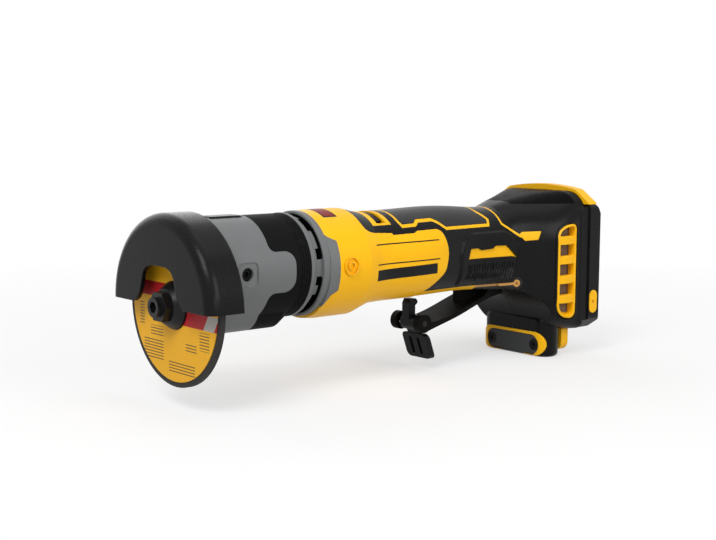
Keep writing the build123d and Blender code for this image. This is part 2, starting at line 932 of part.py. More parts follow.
# Motor: shaft, pinion, bearings, fan, rotor, stator, windings and end cap
pieces["motor_shaft"] = sleeve(shaft_front, shaft_back, shaft_radius, 0)
pieces["motor_pinion"] = gear(
    pinion_teeth, gear_front - pinion_overlap, gear_width + 2 * pinion_overlap,
    shaft_radius + running_fit / 2, 0, -pi / 2,
)
pieces["motor_front_bearing"] = sleeve(
    motor_bearing_front, plate_back, motor_bearing_radius, shaft_radius + running_fit
)
pieces["motor_rear_bearing"] = sleeve(
    tail_motor_bearing_front, tail_motor_bearing_back, tail_motor_bearing_radius,
    shaft_radius + running_fit,
)
fan_front = collar_back + fan_end_gap
with BuildPart() as motor_fan:
    with BuildSketch(station(fan_front)):
        Circle(fan_hub_radius)
    extrude(amount=fan_depth)
    with BuildSketch(station(fan_front + fan_depth - fan_disc)):
        Circle(fan_radius)
    extrude(amount=fan_disc)
    with BuildSketch(station(fan_front)):
        with PolarLocations((fan_hub_radius + fan_radius - fan_blade_root) / 2, fan_blades):
            Rectangle(fan_radius - fan_hub_radius + fan_blade_root, fan_blade_thickness)
    extrude(amount=fan_depth)
    with BuildSketch(station(fan_front)):
        Circle(shaft_radius + running_fit / 2)
    extrude(amount=fan_depth, mode=Mode.SUBTRACT)
pieces["motor_fan"] = motor_fan.part
pieces["rotor_core"] = sleeve(stator_front, stator_back, rotor_radius, shaft_radius + running_fit / 2)
stator_bore = rotor_radius + air_gap
with BuildPart() as stator_core:
    with BuildSketch(station(stator_front)):
        Circle(motor_bore - running_fit)
        Circle(stator_bore, mode=Mode.SUBTRACT)
        with PolarLocations(slot_ring, slot_count):
            Circle(slot_radius, mode=Mode.SUBTRACT)
        with PolarLocations(slot_ring - slot_radius, slot_count):
            Rectangle(slot_radius, slot_mouth, mode=Mode.SUBTRACT)
    extrude(amount=stator_length)
pieces["stator_core"] = stator_core.part
winding_radius = slot_radius - slip_fit
with BuildPart() as stator_windings:
    with BuildSketch(station(stator_front - winding_overhang)):
        with PolarLocations(slot_ring, slot_count):
            Circle(winding_radius)
    extrude(amount=stator_length + 2 * winding_overhang)
    for end_front in (stator_front - winding_overhang, stator_back + slip_fit):
        with BuildSketch(station(end_front)):
            Circle(slot_ring + winding_radius - winding_inset)
            Circle(slot_ring - winding_radius + winding_inset, mode=Mode.SUBTRACT)
        extrude(amount=winding_overhang - slip_fit)
pieces["stator_windings"] = stator_windings.part
end_cap_radius = motor_bore - slip_fit
shaft_hole = shaft_radius + shaft_hole_gap
end_cap_front = winding_back + free_gap
end_cap_back = end_cap_front + end_cap_disc
pieces["motor_end_cap"] = turned(
    [
        (stator_back, end_cap_radius - end_cap_rim), (stator_back, end_cap_radius),
        (end_cap_back, end_cap_radius), (end_cap_back, tail_motor_bearing_radius + end_cap_boss_wall),
        (tail_motor_bearing_back, tail_motor_bearing_radius + end_cap_boss_wall),
        (tail_motor_bearing_back, tail_motor_bearing_radius),
        (tail_motor_bearing_front, tail_motor_bearing_radius),
        (tail_motor_bearing_front, shaft_hole), (end_cap_front, shaft_hole),
        (end_cap_front, end_cap_radius - end_cap_rim),
    ]
)

# Outer body: (position, half width, top, bottom, top round, bottom round) at each section
handle_sections = (
    (0.0, 24.6, 24.0, -22.6, 23.4, 18.0),
    (0.165, 23.6, 23.7, -22.3, 22.4, 18.0),
    (0.417, 22.6, 24.3, -22.3, 21.4, 17.0),
    (0.592, 20.4, 24.3, -22.3, 19.4, 15.0),
    (0.825, 19.8, 22.7, -22.6, 19.0, 11.0),
    (1.0, 20.6, 23.4, -23.2, 19.4, 7.5),
)
flare_sections = (
    (-0.33, 18.4, 19.5, 17.5, 8.0),
    (-0.10, 20.0, 23.0, 19.0, 12.0),
    (0.19, 25.0, 26.0, 21.0, 18.0),
    (0.5, 32.4, 28.6, 25.5, 20.0),
    (0.76, 33.4, 30.2, 20.0, 13.0),
    (1.0, 33.6, 30.6, 14.0, 7.0),
)


def body_section(x, half_width, top, bottom, top_round, bottom_round, inset):
    """Rounded cross section of the body, drawn in by the inset."""
    with BuildSketch(station(x)) as face:
        with Locations((0, (top + bottom) / 2)):
            Rectangle(2 * (half_width - inset), top - bottom - 2 * inset)
        upper = face.vertices().group_by(Axis.Y)[-1]
        fillet(upper, top_round - inset)
        lower = face.vertices().group_by(Axis.Y)[0]
        fillet(lower, bottom_round - inset)
    return face.sketch


def barrel_section(x, radius, inset):
    """Round section of the barrel, which hangs a little below the motor axis."""
    corner = radius - barrel_flat
    return body_section(x, radius, radius - barrel_drop, -radius - barrel_drop, corner, corner, inset)


def bay_block(inset):
    """Lower bay of the foot: a round-cornered block that the tool stands on."""
    base = -axis_height + inset
    with BuildPart() as block:
        with BuildSketch(plan(base)):
            with Locations(((bay_front + bay_back) / 2, 0)):
                RectangleRounded(
                    bay_back - bay_front - 2 * inset, 2 * (bay_half_width - inset), bay_corner - inset
                )
        extrude(amount=bay_rise - 2 * inset)
        fillet(block.faces().sort_by(Axis.Z)[-1].edges(), bay_top_round - inset)
        if inset < bay_base_round:
            fillet(block.faces().sort_by(Axis.Z)[0].edges(), bay_base_round - inset)
    return block.part


def body(inset):
    """Barrel, handle, flared foot and lower bay as one solid, drawn in by the inset."""
    shoulder = handle_sections[0]
    barrel_faces = [
        barrel_section(barrel_front, barrel_radius - barrel_front_taper, inset),
        barrel_section(barrel_front + tab_reach, barrel_radius, inset),
        barrel_section(barrel_back, barrel_radius, inset),
        body_section(handle_front, *shoulder[1:], inset),
    ]
    handle_faces = [
        body_section(handle_front + share * handle_length, *sizes, inset)
        for share, *sizes in handle_sections
    ]
    flare_faces = [
        body_section(
            handle_back + share * foot_length, half_width, top, foot_bottom, top_round, low_round, inset
        )
        for share, half_width, top, top_round, low_round in flare_sections
    ]
    with BuildPart() as flare:
        loft(flare_faces)
        with BuildSketch(side(0)):
            with BuildLine():
                lead_x = handle_back - flare_lead
                front = Line((lead_x, foot_top * 2), (lead_x, flare_lead_z))
                under = Line(front @ 1, (handle_back, handle_under))
                neck = ThreePointArc(
                    under @ 1, (handle_back + neck_middle, neck_height),
                    (handle_back + neck_reach, foot_bottom),
                )
                Polyline(
                    neck @ 1, (receiver_front, foot_bottom), (receiver_front, foot_top * 2), front @ 0
                )
            make_face()
            if inset:
                offset(amount=-inset, mode=Mode.REPLACE)
        extrude(amount=foot_half_width * 2, both=True, mode=Mode.INTERSECT)
    lower_bay = bay_block(inset)
    with BuildPart() as whole:
        for first, second in zip(barrel_faces, barrel_faces[1:]):
            loft([first, second])
        loft(handle_faces)
        add(flare.part)
        add(lower_bay)
    return whole.part


outer_body = body(0)
grip_floor = body(grip_depth)
hollow_body = body(wall)

# Vent ring: air outlets round the fan, spigots into the gear case and the barrel, side tabs
spigot_outside = motor_bore - slip_fit
spigot_inside = spigot_outside - vent_spigot_wall
spigot_front = collar_back - vent_spigot
fan_room = motor_bore + free_gap
lip_radius = nose_radius + vent_lip_proud
channel_radius = nose_radius - vent_channel_depth
vent_channel_front = collar_back + vent_lip
vent_channel_back = vent_channel_front + vent_channel
ring_blank = turned(
    [
        (spigot_front, spigot_inside), (spigot_front, spigot_outside), (collar_back, spigot_outside),
        (collar_back, lip_radius), (vent_channel_front, lip_radius),
        (vent_channel_front, channel_radius), (vent_channel_back, channel_radius),
        (vent_channel_back, vent_radius - vent_step), (vent_channel_back + vent_step, vent_radius),
        (barrel_front, vent_radius),
        (barrel_front, spigot_outside), (stator_front - vent_stator_gap, spigot_outside),
        (stator_front - vent_stator_gap, spigot_inside), (barrel_front - vent_step, spigot_inside),
        (barrel_front - vent_step, fan_room), (collar_back + free_gap, fan_room),
        (collar_back + free_gap, spigot_inside),
    ]
)
tab_prism = cross_bar(
    [
        (barrel_front - free_gap, 15.8), (barrel_front + 1.4, 14.3), (barrel_front + tab_reach, 12.4),
        (barrel_front + tab_reach, -11.6), (barrel_front + 2.2, -13.9), (barrel_front + 1.0, -17.1),
        (barrel_front - free_gap, -20.4),
    ],
    barrel_radius * 2,
)
tab_core = sleeve(barrel_front - free_gap, barrel_back, barrel_radius - tab_depth, 0)
with BuildPart() as side_tabs:
    add(outer_body)
    add(tab_prism, mode=Mode.INTERSECT)
    add(tab_core, mode=Mode.SUBTRACT)
with BuildPart() as vent_ring:
    add(ring_blank)
    with BuildSketch(station(vent_channel_back - vent_slot_width)):
        for start, end in vent_slots:
            for hand in (-1, 1):
                reach = vent_radius * 2
                with BuildLine():
                    Polyline(
                        (0, 0),
                        (hand * reach * sin(radians(start)), reach * cos(radians(start))),
                        (hand * reach * sin(radians(end)), reach * cos(radians(end))),
                        close=True,
                    )
                make_face()
    extrude(amount=vent_slot_width, mode=Mode.SUBTRACT)
    add(side_tabs.part)
pieces["vent_ring"] = vent_ring.part

# Soft grip: its side outline, and the lines of the housing that show through it
crown_reach = foot_top * 2
with BuildPart() as grip_zone:
    with BuildSketch(side(0)):
        with BuildLine():
            front_edge = Line((handle_front - 8.5, crown_reach), (handle_front - 8.5, 22.5))
            front_bend = Spline(
                front_edge @ 1, (handle_front - 7.6, 17.3), (handle_front - 1.0, 14.4),
                tangents=((0, -1), (1, -0.1)),
            )
            panel_top = Polyline(
                front_bend @ 1, (handle_front + 10.5, 13.7), (handle_front + 11.3, 12.7),
                (handle_front + 25.3, 12.9), (handle_front + 28.2, 13.9), (handle_front + 40.6, 14.1),
            )
            panel_end = Spline(
                panel_top @ 1, (handle_front + 47.7, 7.1), (handle_front + 49.0, 1.3),
                (handle_front + 47.4, -6.6), (handle_front + 41.3, -13.4),
                tangents=((1, 0), (-0.75, -0.66)),
            )
            stripe = Polyline(
                panel_end @ 1, (handle_front + 36.0, -18.4), (pivot_x - 1.0, -18.6),
                (pivot_x - 1.0, -2 * axis_height),
            )
            Polyline(stripe @ 1, (rear, -2 * axis_height), (rear, crown_reach), front_edge @ 0)
        make_face()
    extrude(amount=foot_half_width * 2, both=True)
with BuildPart() as show_through:
    with BuildSketch(side(0)):
        with Locations((handle_front + selector_frame_front, selector_frame_low)):
            Rectangle(selector_frame_length, crown_reach, align=(Align.MIN, Align.MIN))
        with BuildLine():
            Polyline(
                (handle_front + 18.4, crown_reach), (handle_front + 18.6, 18.8),
                (handle_front + 19.6, 16.5), (handle_front + 28.3, 16.7), (handle_front + 31.4, 18.5),
                (handle_front + 41.6, 18.7), (handle_front + 44.6, 17.4), (handle_front + 49.6, 13.9),
                (handle_back - 19.5, 13.8), (handle_back - 17.9, 16.8), (handle_back - 22.3, 21.1),
                (handle_back - 26.0, crown_reach),
            )
        trace(line_width=pad_line)
        with BuildLine():
            Polyline(
                (handle_back - 9.5, crown_reach), (handle_back - 9.2, 14.0), (handle_back + 2.0, 6.5),
            )
        trace(line_width=foot_line)
        with BuildLine():
            Polyline(
                (handle_back + 0.6, 7.6), (handle_back + 4.0, 4.2), (handle_back + 10.5, 4.7),
                (handle_back + 12.2, 9.4), (handle_back + 2.3, 9.2), close=True,
            )
        make_face()
        with BuildLine():
            Polyline(
                (handle_back - 38.6, -5.0), (handle_back - 36.4, 2.1), (handle_back - 30.0, 2.2),
                (handle_back - 27.6, 0.9), (handle_back - 19.3, 1.2), (handle_back - 17.5, 2.7),
                (handle_back - 9.0, 2.5), (handle_back - 0.7, -4.6), (handle_back - 5.0, -3.8),
                (handle_back - 37.1, -3.5), close=True,
            )
        make_face()
        with Locations((pivot_x + 1.0, pivot_z - 0.5)):
            Circle(pivot_ring)
    extrude(amount=foot_half_width * 2, both=True)

# Vent grilles in the sides of the foot
grille_front = receiver_front - grille_setback


def grille_outline(rim=0.0):
    """Side outline of a grille, less a rim: cut corner at the top front, rounded ones elsewhere."""
    grille_back = grille_front + grille_length
    with BuildSketch(side(0)) as face:
        with BuildLine():
            Polyline(
                (grille_front, grille_top - grille_corner), (grille_front + grille_corner, grille_top),
                (grille_back, grille_top), (grille_back, grille_bottom + grille_corner / 2),
                (grille_back - grille_corner / 2, grille_bottom),
                (grille_front + grille_corner, grille_bottom),
                (grille_front, grille_bottom + grille_corner), close=True,
            )
        make_face()
        fillet(face.vertices(), grille_edge_round)
        if rim:
            offset(amount=-rim, mode=Mode.REPLACE)
    return face.sketch


foot_core = box(
    grille_front - wall, receiver_front, foot_half_width - grille_room, foot_bottom, foot_top
)
with BuildPart() as grille_windows:
    extrude(grille_outline(), amount=foot_half_width * 2, both=True)
    add(foot_core, mode=Mode.SUBTRACT)
grille_step = (grille_top - grille_bottom - 2 * grille_rim + grille_bar) / grille_openings
with BuildPart() as grille_slots:
    extrude(grille_outline(grille_rim), amount=foot_half_width * 2, both=True)
    with BuildSketch(side(0)):
        with Locations((grille_front + grille_length / 2, (grille_top + grille_bottom) / 2)):
            with GridLocations(0, grille_step, 1, grille_openings - 1):
                Rectangle(grille_length * 2, grille_bar)
    extrude(amount=foot_half_width * 2, both=True, mode=Mode.SUBTRACT)
with BuildPart() as vent_grille_left:
    add(grille_windows.part)
    split(bisect_by=Plane.XZ, keep=Keep.TOP)
    add(outer_body, mode=Mode.INTERSECT)
    add(hollow_body, mode=Mode.SUBTRACT)
    add(grille_slots.part, mode=Mode.SUBTRACT)
with BuildPart() as vent_grille_right:
    add(vent_grille_left.part)
    mirror(about=Plane.XZ, mode=Mode.REPLACE)
pieces["vent_grille_left"] = vent_grille_left.part
pieces["vent_grille_right"] = vent_grille_right.part

# Lower bay: yellow surround, cover plate and its screws, let into the front of the foot


def bay_face(half_width, low, high, corner):
    """Round-ended outline on the front of the bay, drawn through its front half."""
    with BuildPart() as prism:
        with BuildSketch(station(bay_front - bay_corner)):
            with Locations((0, (low + high) / 2)):
                RectangleRounded(2 * half_width, high - low, corner)
        extrude(amount=bay_corner + bay_frame_wrap)
    return prism.part


bay_floor = bay_block(bay_frame_sink)
bay_mouth = box(
    bay_front - bay_corner, bay_front + bay_corner, bay_mouth_half, -axis_height - bay_corner,
    plate_screw_z - plate_screw_head,
)
frame_blank = bay_block(-bay_frame_proud)
frame_prism = bay_face(
    plate_half_width + bay_frame_width, bay_frame_bottom, bay_frame_top,
    (bay_frame_top - bay_frame_bottom) / 2 - free_gap,
)
plate_prism = bay_face(
    plate_half_width, plate_bottom, plate_top, (plate_top - plate_bottom) / 2 - free_gap
)
plate_blank = bay_block(0)
with BuildPart() as cover_plate_solid:
    add(plate_prism)
    add(bay_mouth)
    add(plate_blank, mode=Mode.INTERSECT)
    add(bay_floor, mode=Mode.SUBTRACT)
with BuildPart() as bay_frame:
    add(frame_prism)
    add(frame_blank, mode=Mode.INTERSECT)
    add(bay_floor, mode=Mode.SUBTRACT)
    add(plate_prism, mode=Mode.SUBTRACT)
    add(bay_mouth, mode=Mode.SUBTRACT)
plate_screw_points = [(-plate_screw_y, plate_screw_z), (plate_screw_y, plate_screw_z)]
with BuildPart() as cover_screws:
    with BuildSketch(station(bay_front)):
        with Locations(*plate_screw_points):
            Circle(plate_screw_head)
            RegularPolygon(plate_screw_key, 6, mode=Mode.SUBTRACT)
    extrude(amount=plate_screw_head_depth)
    with BuildSketch(station(bay_front + plate_screw_head_depth / 2)):
        with Locations(*plate_screw_points):
            Circle(plate_screw_head)
    extrude(amount=plate_screw_head_depth / 2)
    with BuildSketch(station(bay_front + plate_screw_head_depth)):
        with Locations(*plate_screw_points):
            Circle(plate_screw_radius)
    extrude(amount=plate_screw_length)
with BuildPart() as plate_screw_rooms:
    with BuildSketch(station(bay_front - bay_corner)):
        with Locations(*plate_screw_points):
            Circle(plate_screw_head + running_fit)
    extrude(amount=bay_corner + plate_screw_head_depth)
    with BuildSketch(station(bay_front)):
        with Locations(*plate_screw_points):
            Circle(plate_screw_radius + running_fit)
    extrude(amount=plate_screw_head_depth + plate_screw_length + free_gap)
with BuildPart() as cover_plate:
    add(cover_plate_solid.part)
    add(plate_screw_rooms.part, mode=Mode.SUBTRACT)
pieces["bay_frame"] = bay_frame.part
pieces["cover_plate"] = cover_plate.part
pieces["cover_screws"] = cover_screws.part

# Paddle channel in the underside of the handle, with a pocket above it for the lever's prong
channel_half = paddle_half_width + channel_gap
channel_front = lever_x - channel_lead
channel_back = pivot_x + paddle_boss_radius + channel_gap
pocket_half = prong_half_width + channel_gap
pocket_front = lever_x - prong_pocket_lead
pocket_back = lever_x + prong_pocket_trail
channel_room = box(channel_front, channel_back, channel_half, -axis_height, channel_roof)
channel_block = box(
    channel_front - channel_wall, channel_back + channel_wall, channel_half + channel_wall,
    -axis_height, channel_roof + channel_wall,
)
pocket_room = box(pocket_front, pocket_back, pocket_half, -axis_height, prong_pocket_roof)
pocket_block = box(
    pocket_front - channel_wall, pocket_back + channel_wall, pocket_half + channel_wall,
    -axis_height, prong_pocket_roof + channel_wall,
)
pin_boss = cross_pin(
    pivot_x, pivot_z, paddle_pin_radius + pin_boss_wall, -foot_half_width, foot_half_width
)
pin_bore = cross_pin(
    pivot_x, pivot_z, paddle_pin_radius + running_fit, -paddle_pin_half - free_gap,
    paddle_pin_half + free_gap,
)
plunger_x = pivot_x - plunger_setback
with BuildPart() as plunger_bore:
    with BuildSketch(plan(channel_roof - free_gap)):
        with Locations((plunger_x, 0)):
            Circle(plunger_radius + free_gap)
    extrude(amount=channel_wall + 2 * free_gap)

# Screws through the housing, driven from the right
with BuildPart() as housing_bosses:
    with BuildSketch(side(0)):
        with Locations(*housing_screw_points):
            Circle(housing_boss_radius)
    extrude(amount=foot_half_width * 2, both=True)
with BuildPart() as housing_screws:
    with BuildSketch(side(housing_screw_seat)):
        with Locations(*housing_screw_points):
            Circle(housing_screw_radius)
    extrude(amount=housing_screw_length)
    with BuildSketch(side(housing_screw_seat)):
        with Locations(*housing_screw_points):
            Circle(housing_screw_head)
    extrude(amount=-housing_screw_head_depth)
    with BuildSketch(side(housing_screw_seat + housing_screw_head_depth)):
        with Locations(*housing_screw_points):
            RegularPolygon(housing_screw_key, 6)
    extrude(amount=housing_screw_head_depth / 2, mode=Mode.SUBTRACT)
with BuildPart() as housing_screw_rooms:
    with BuildSketch(side(housing_screw_seat)):
        with Locations(*housing_screw_points):
            Circle(housing_screw_radius + running_fit)
    extrude(amount=housing_screw_length + free_gap)
    with BuildSketch(side(housing_screw_seat)):
        with Locations(*housing_screw_points):
            Circle(housing_screw_head + free_gap)
    extrude(amount=-foot_half_width * 2)
pieces["housing_screws"] = housing_screws.part

# Direction selector: a saddle on the crown that swings about an axis along the tool
selector_radius = handle_sections[0][2] - selector_centre_z - selector_sink
selector_foot_radius = handle_sections[0][2] - selector_centre_z - wall - free_gap
selector_back = selector_front + selector_length


def saddle(front, back, inner, outer, half_angle):
    """Part of a ring about the selector's axis, centred on the crown."""
    across = 2 * outer * sin(radians(half_angle))
    up = selector_centre_z + 2 * outer * cos(radians(half_angle))
    with BuildPart() as piece:
        with BuildSketch(station(front)):
            with Locations((0, selector_centre_z)):
                Circle(outer)
                Circle(inner, mode=Mode.SUBTRACT)
            with BuildLine():
                Polyline((0, selector_centre_z), (across, up), (-across, up), close=True)
            make_face(mode=Mode.INTERSECT)
        extrude(amount=back - front)
    return piece.part


selector_cap = saddle(
    selector_front, selector_back, selector_foot_radius - selector_foot, selector_radius, selector_angle
)
selector_base = saddle(
    selector_front - selector_foot, selector_back + selector_foot, selector_foot_radius - selector_foot,
    selector_foot_radius, selector_angle,
)
with BuildPart() as direction_selector:
    add(selector_cap)
    add(selector_base)
selector_window = saddle(
    selector_front - free_gap, selector_back + free_gap, selector_foot_radius - selector_foot,
    barrel_radius * 2, selector_angle + selector_swing + selector_play,
)
pieces["direction_selector"] = direction_selector.part

# Label let into the crown of the barrel
label_front = barrel_front + label_setback
label_bed = sleeve(
    label_front - free_gap, label_front + label_length + free_gap, barrel_radius - label_inlay, 0,
    -barrel_drop,
)
label_block = box(label_front, label_front + label_length, label_half_width, 0, barrel_radius * 2)
with BuildPart() as direction_label:
    add(label_block)
    add(outer_body, mode=Mode.INTERSECT)
    add(label_bed, mode=Mode.SUBTRACT)
pieces["direction_label"] = direction_label.part

# Housing halves and the soft grip moulded onto them
cavity_front = end_cap_back + slip_fit
motor_room = sleeve(barrel_front - free_gap, cavity_front + free_gap, motor_bore, 0)
spigot_room = box(
    receiver_front - spigot_depth - wall, receiver_front + wall, spigot_half_width + slip_fit,
    spigot_bottom - slip_fit, spigot_top + slip_fit,
)
with BuildPart() as cavity:
    add(hollow_body)
    split(bisect_by=station(cavity_front), keep=Keep.TOP)
    add(channel_block, mode=Mode.SUBTRACT)
    add(pocket_block, mode=Mode.SUBTRACT)
    add(pin_boss, mode=Mode.SUBTRACT)
    add(housing_bosses.part, mode=Mode.SUBTRACT)
with BuildPart() as openings:
    add(channel_room)
    add(pocket_room)
    add(pin_bore)
    add(plunger_bore.part)
    add(housing_screw_rooms.part)
    add(grille_windows.part)
    add(selector_window)
    add(spigot_room)
    add(bay_frame.part)
    add(cover_plate_solid.part)
    add(plate_screw_rooms.part)
with BuildPart() as grip:
    add(outer_body)
    add(grip_floor, mode=Mode.SUBTRACT)
    add(grip_zone.part, mode=Mode.INTERSECT)
    add(show_through.part, mode=Mode.SUBTRACT)
with BuildPart() as housing:
    add(outer_body)
    add(cavity.part, mode=Mode.SUBTRACT)
    add(motor_room, mode=Mode.SUBTRACT)
    add(side_tabs.part, mode=Mode.SUBTRACT)
    add(direction_label.part, mode=Mode.SUBTRACT)
    add(grip.part, mode=Mode.SUBTRACT)
    add(openings.part, mode=Mode.SUBTRACT)


def half(whole, keep):
    """One half of a piece, cut at the tool's middle plane."""
    with BuildPart() as piece:
        add(whole)
        split(bisect_by=Plane.XZ, keep=keep)
    return piece.part


def side_cut(front, length, depth, low, high):
    """Shallow upright cuts into both sides of the foot."""
    with BuildPart() as cuts:
        add(box(front, front + length, foot_half_width * 2, low, high))
        add(box(front, front + length, foot_half_width - depth, low, high), mode=Mode.SUBTRACT)
    return cuts.part


side_steps = side_cut(
    receiver_front - side_step_lead, side_step_lead + side_step_length, side_step, foot_bottom, crown_side
)
side_grooves = side_cut(
    receiver_front - side_groove_setback, side_groove_width, side_groove_depth, grille_bottom, grille_top
)
with BuildPart() as open_grip:
    add(grip.part)
    add(openings.part, mode=Mode.SUBTRACT)
    add(side_steps, mode=Mode.SUBTRACT)
    add(side_grooves, mode=Mode.SUBTRACT)
for hand, keep in (("left", Keep.TOP), ("right", Keep.BOTTOM)):
    pieces["housing_" + hand] = half(housing.part, keep)
    crown_pad, main_grip = half(open_grip.part, keep).solids().sort_by(SortBy.VOLUME)
    pieces["grip_" + hand] = main_grip
    pieces["crown_pad_" + hand] = crown_pad

# Paddle: a curved finger plate hung on a cross pin, a rib on it that presses the switch, and two
# ears in front for the lock-off lever
with BuildPart() as paddle:
    with BuildSketch(side(0)):
        with BuildLine():
            plate_upper = Spline(
                (lever_x, lever_z + 0.6), (pivot_x - 43.0, pivot_z - 16.5),
                (pivot_x - 29.0, pivot_z - 12.4), (pivot_x - 14.7, pivot_z - 7.8),
                (pivot_x, pivot_z - paddle_boss_radius + slip_fit),
            )
            plate_end = Line(plate_upper @ 1, (pivot_x, pivot_z - paddle_boss_radius - paddle_plate))
            plate_under = Spline(
                plate_end @ 1, (pivot_x - 18.3, pivot_z - 11.2), (pivot_x - 33.2, pivot_z - 16.3),
                (pivot_x - 47.0, pivot_z - 20.0), (lever_x, lever_z - ear_radius + slip_fit),
            )
            Line(plate_under @ 1, plate_upper @ 0)
        make_face()
        with BuildLine():
            Polyline(
                (pivot_x - 16.0, pivot_z - 9.0), (pivot_x - 3.4, pivot_z + 3.3), (pivot_x, pivot_z),
                (pivot_x, pivot_z - paddle_boss_radius - paddle_plate / 2), close=True,
            )
        make_face()
        with Locations((lever_x, lever_z)):
            Circle(ear_radius)
        with Locations((pivot_x, pivot_z)):
            Circle(paddle_boss_radius)
    extrude(amount=paddle_half_width, both=True)
    with BuildSketch(side(0)):
        with BuildLine():
            Polyline(
                (plunger_x - 4.5, pivot_z - 11.4), (plunger_x - 4.5, pivot_z - 0.4),
                (pivot_x - 8.0, pivot_z + 3.5), (pivot_x, pivot_z), (pivot_x - 12.0, pivot_z - 8.0),
                close=True,
            )
        make_face()
    extrude(amount=paddle_rib_half, both=True)
    with BuildSketch(side(0)):
        with Locations((lever_x + lever_hub_radius + lever_slot_gap, lever_z)):
            Rectangle(4 * ear_radius, 6 * ear_radius, align=(Align.MAX, Align.CENTER))
    extrude(amount=lever_hub_half + free_gap, both=True, mode=Mode.SUBTRACT)
    with BuildSketch(side(paddle_half_width)):
        with Locations((pivot_x, pivot_z)):
            Circle(paddle_boss_radius + free_gap)
    extrude(amount=paddle_spring_room, mode=Mode.SUBTRACT)
    with BuildSketch(side(0)):
        with Locations((pivot_x, pivot_z)):
            Circle(paddle_pin_radius + running_fit)
        with Locations((lever_x, lever_z)):
            Circle(lever_pin_radius + running_fit)
    extrude(amount=paddle_half_width, both=True, mode=Mode.SUBTRACT)
pieces["paddle"] = paddle.part
pieces["paddle_pin"] = cross_pin(pivot_x, pivot_z, paddle_pin_radius, -paddle_pin_half, paddle_pin_half)


def cross_coil(x, z, y_low, room, mean_radius, wire_radius, turns):
    """Torsion coil round a cross pin, filling a room along it."""
    end_gap = wire_radius + running_fit
    base = Plane(
        origin=(x - centre_x, y_low + end_gap, axis_height + z), x_dir=(1, 0, 0), z_dir=(0, 1, 0)
    )
    return coil_spring(base, mean_radius, wire_radius, room - 2 * end_gap, turns)


pieces["paddle_spring"] = cross_coil(
    pivot_x, pivot_z, paddle_half_width - paddle_spring_room, paddle_spring_room,
    paddle_spring_radius, paddle_spring_wire, paddle_spring_turns,
)

# Lock-off lever: hub between the ears, hooked prong above it, finger tab below it
with BuildPart() as finger_front:
    with BuildSketch(station(lever_x - finger_half_width)):
        with Locations((0, lever_z + finger_top)):
            RectangleRounded(
                2 * finger_half_width, finger_height, finger_round, align=(Align.CENTER, Align.MAX)
            )
    extrude(amount=4 * finger_half_width)
finger_front_x = lever_x + finger_lead
finger_top_z = lever_z + finger_top
finger_base_z = finger_top_z - finger_height
finger_lean = finger_height * tan(radians(finger_angle))
finger_bar = cross_bar(
    [
        (finger_front_x, finger_top_z), (finger_front_x + finger_thickness, finger_top_z),
        (finger_front_x + finger_lean + finger_thickness, finger_base_z),
        (finger_front_x + finger_lean, finger_base_z),
    ],
    finger_half_width,
)
groove_lean = finger_groove_inset * tan(radians(finger_angle))
groove_top = finger_top_z - finger_groove_inset
groove_base = finger_base_z + finger_groove_inset
finger_groove = cross_bar(
    [
        (finger_front_x - finger_thickness, groove_top),
        (finger_front_x + groove_lean + finger_groove_depth, groove_top),
        (finger_front_x + finger_lean - groove_lean + finger_groove_depth, groove_base),
        (finger_front_x - finger_thickness, groove_base),
    ],
    finger_groove_width / 2,
)
with BuildPart() as finger:
    add(finger_bar)
    add(finger_front.part, mode=Mode.INTERSECT)
    for hand in (-1, 1):
        add(finger_groove.moved(Location((0, hand * finger_groove_offset, 0))), mode=Mode.SUBTRACT)
prong_top = lever_z + prong_rise
prong_front = lever_x - prong_lead
prong_tip = lever_x + prong_hook
prong = cross_bar(
    [
        (prong_front, lever_z), (prong_front, prong_top - 2 * prong_bevel),
        (prong_front + prong_bevel, prong_top), (prong_tip - prong_bevel, prong_top),
        (prong_tip, prong_top - prong_bevel), (prong_tip, prong_top - prong_hook),
        (lever_x + prong_neck, prong_top - prong_hook - prong_bevel), (lever_x + prong_neck, lever_z),
    ],
    prong_half_width,
)
lever_neck = cross_bar(
    [
        (lever_x - lever_hub_radius / 2, lever_z), (lever_x + lever_hub_radius - prong_neck, lever_z),
        (finger_front_x + finger_thickness, finger_top_z - finger_lap),
        (finger_front_x + finger_lap, finger_top_z - finger_lap),
    ],
    lever_neck_half,
)
with BuildPart() as lock_lever:
    add(cross_pin(lever_x, lever_z, lever_hub_radius, -lever_hub_half, lever_hub_half))
    with BuildSketch(side(lever_hub_half)):
        with Locations((lever_x, lever_z)):
            Circle(lever_hub_radius + free_gap)
    extrude(amount=lever_spring_room, mode=Mode.SUBTRACT)
    add(prong)
    add(lever_neck)
    add(finger.part)
    with BuildSketch(side(0)):
        with Locations((lever_x, lever_z)):
            Circle(lever_pin_radius + running_fit)
    extrude(amount=lever_hub_half, both=True, mode=Mode.SUBTRACT)
pieces["lock_lever"] = lock_lever.part
pieces["lock_lever_pin"] = cross_pin(
    lever_x, lever_z, lever_pin_radius, -paddle_half_width, paddle_half_width
)
pieces["lock_lever_spring"] = cross_coil(
    lever_x, lever_z, lever_hub_half - lever_spring_room, lever_spring_room,
    lever_spring_radius, lever_spring_wire, lever_spring_turns,
)

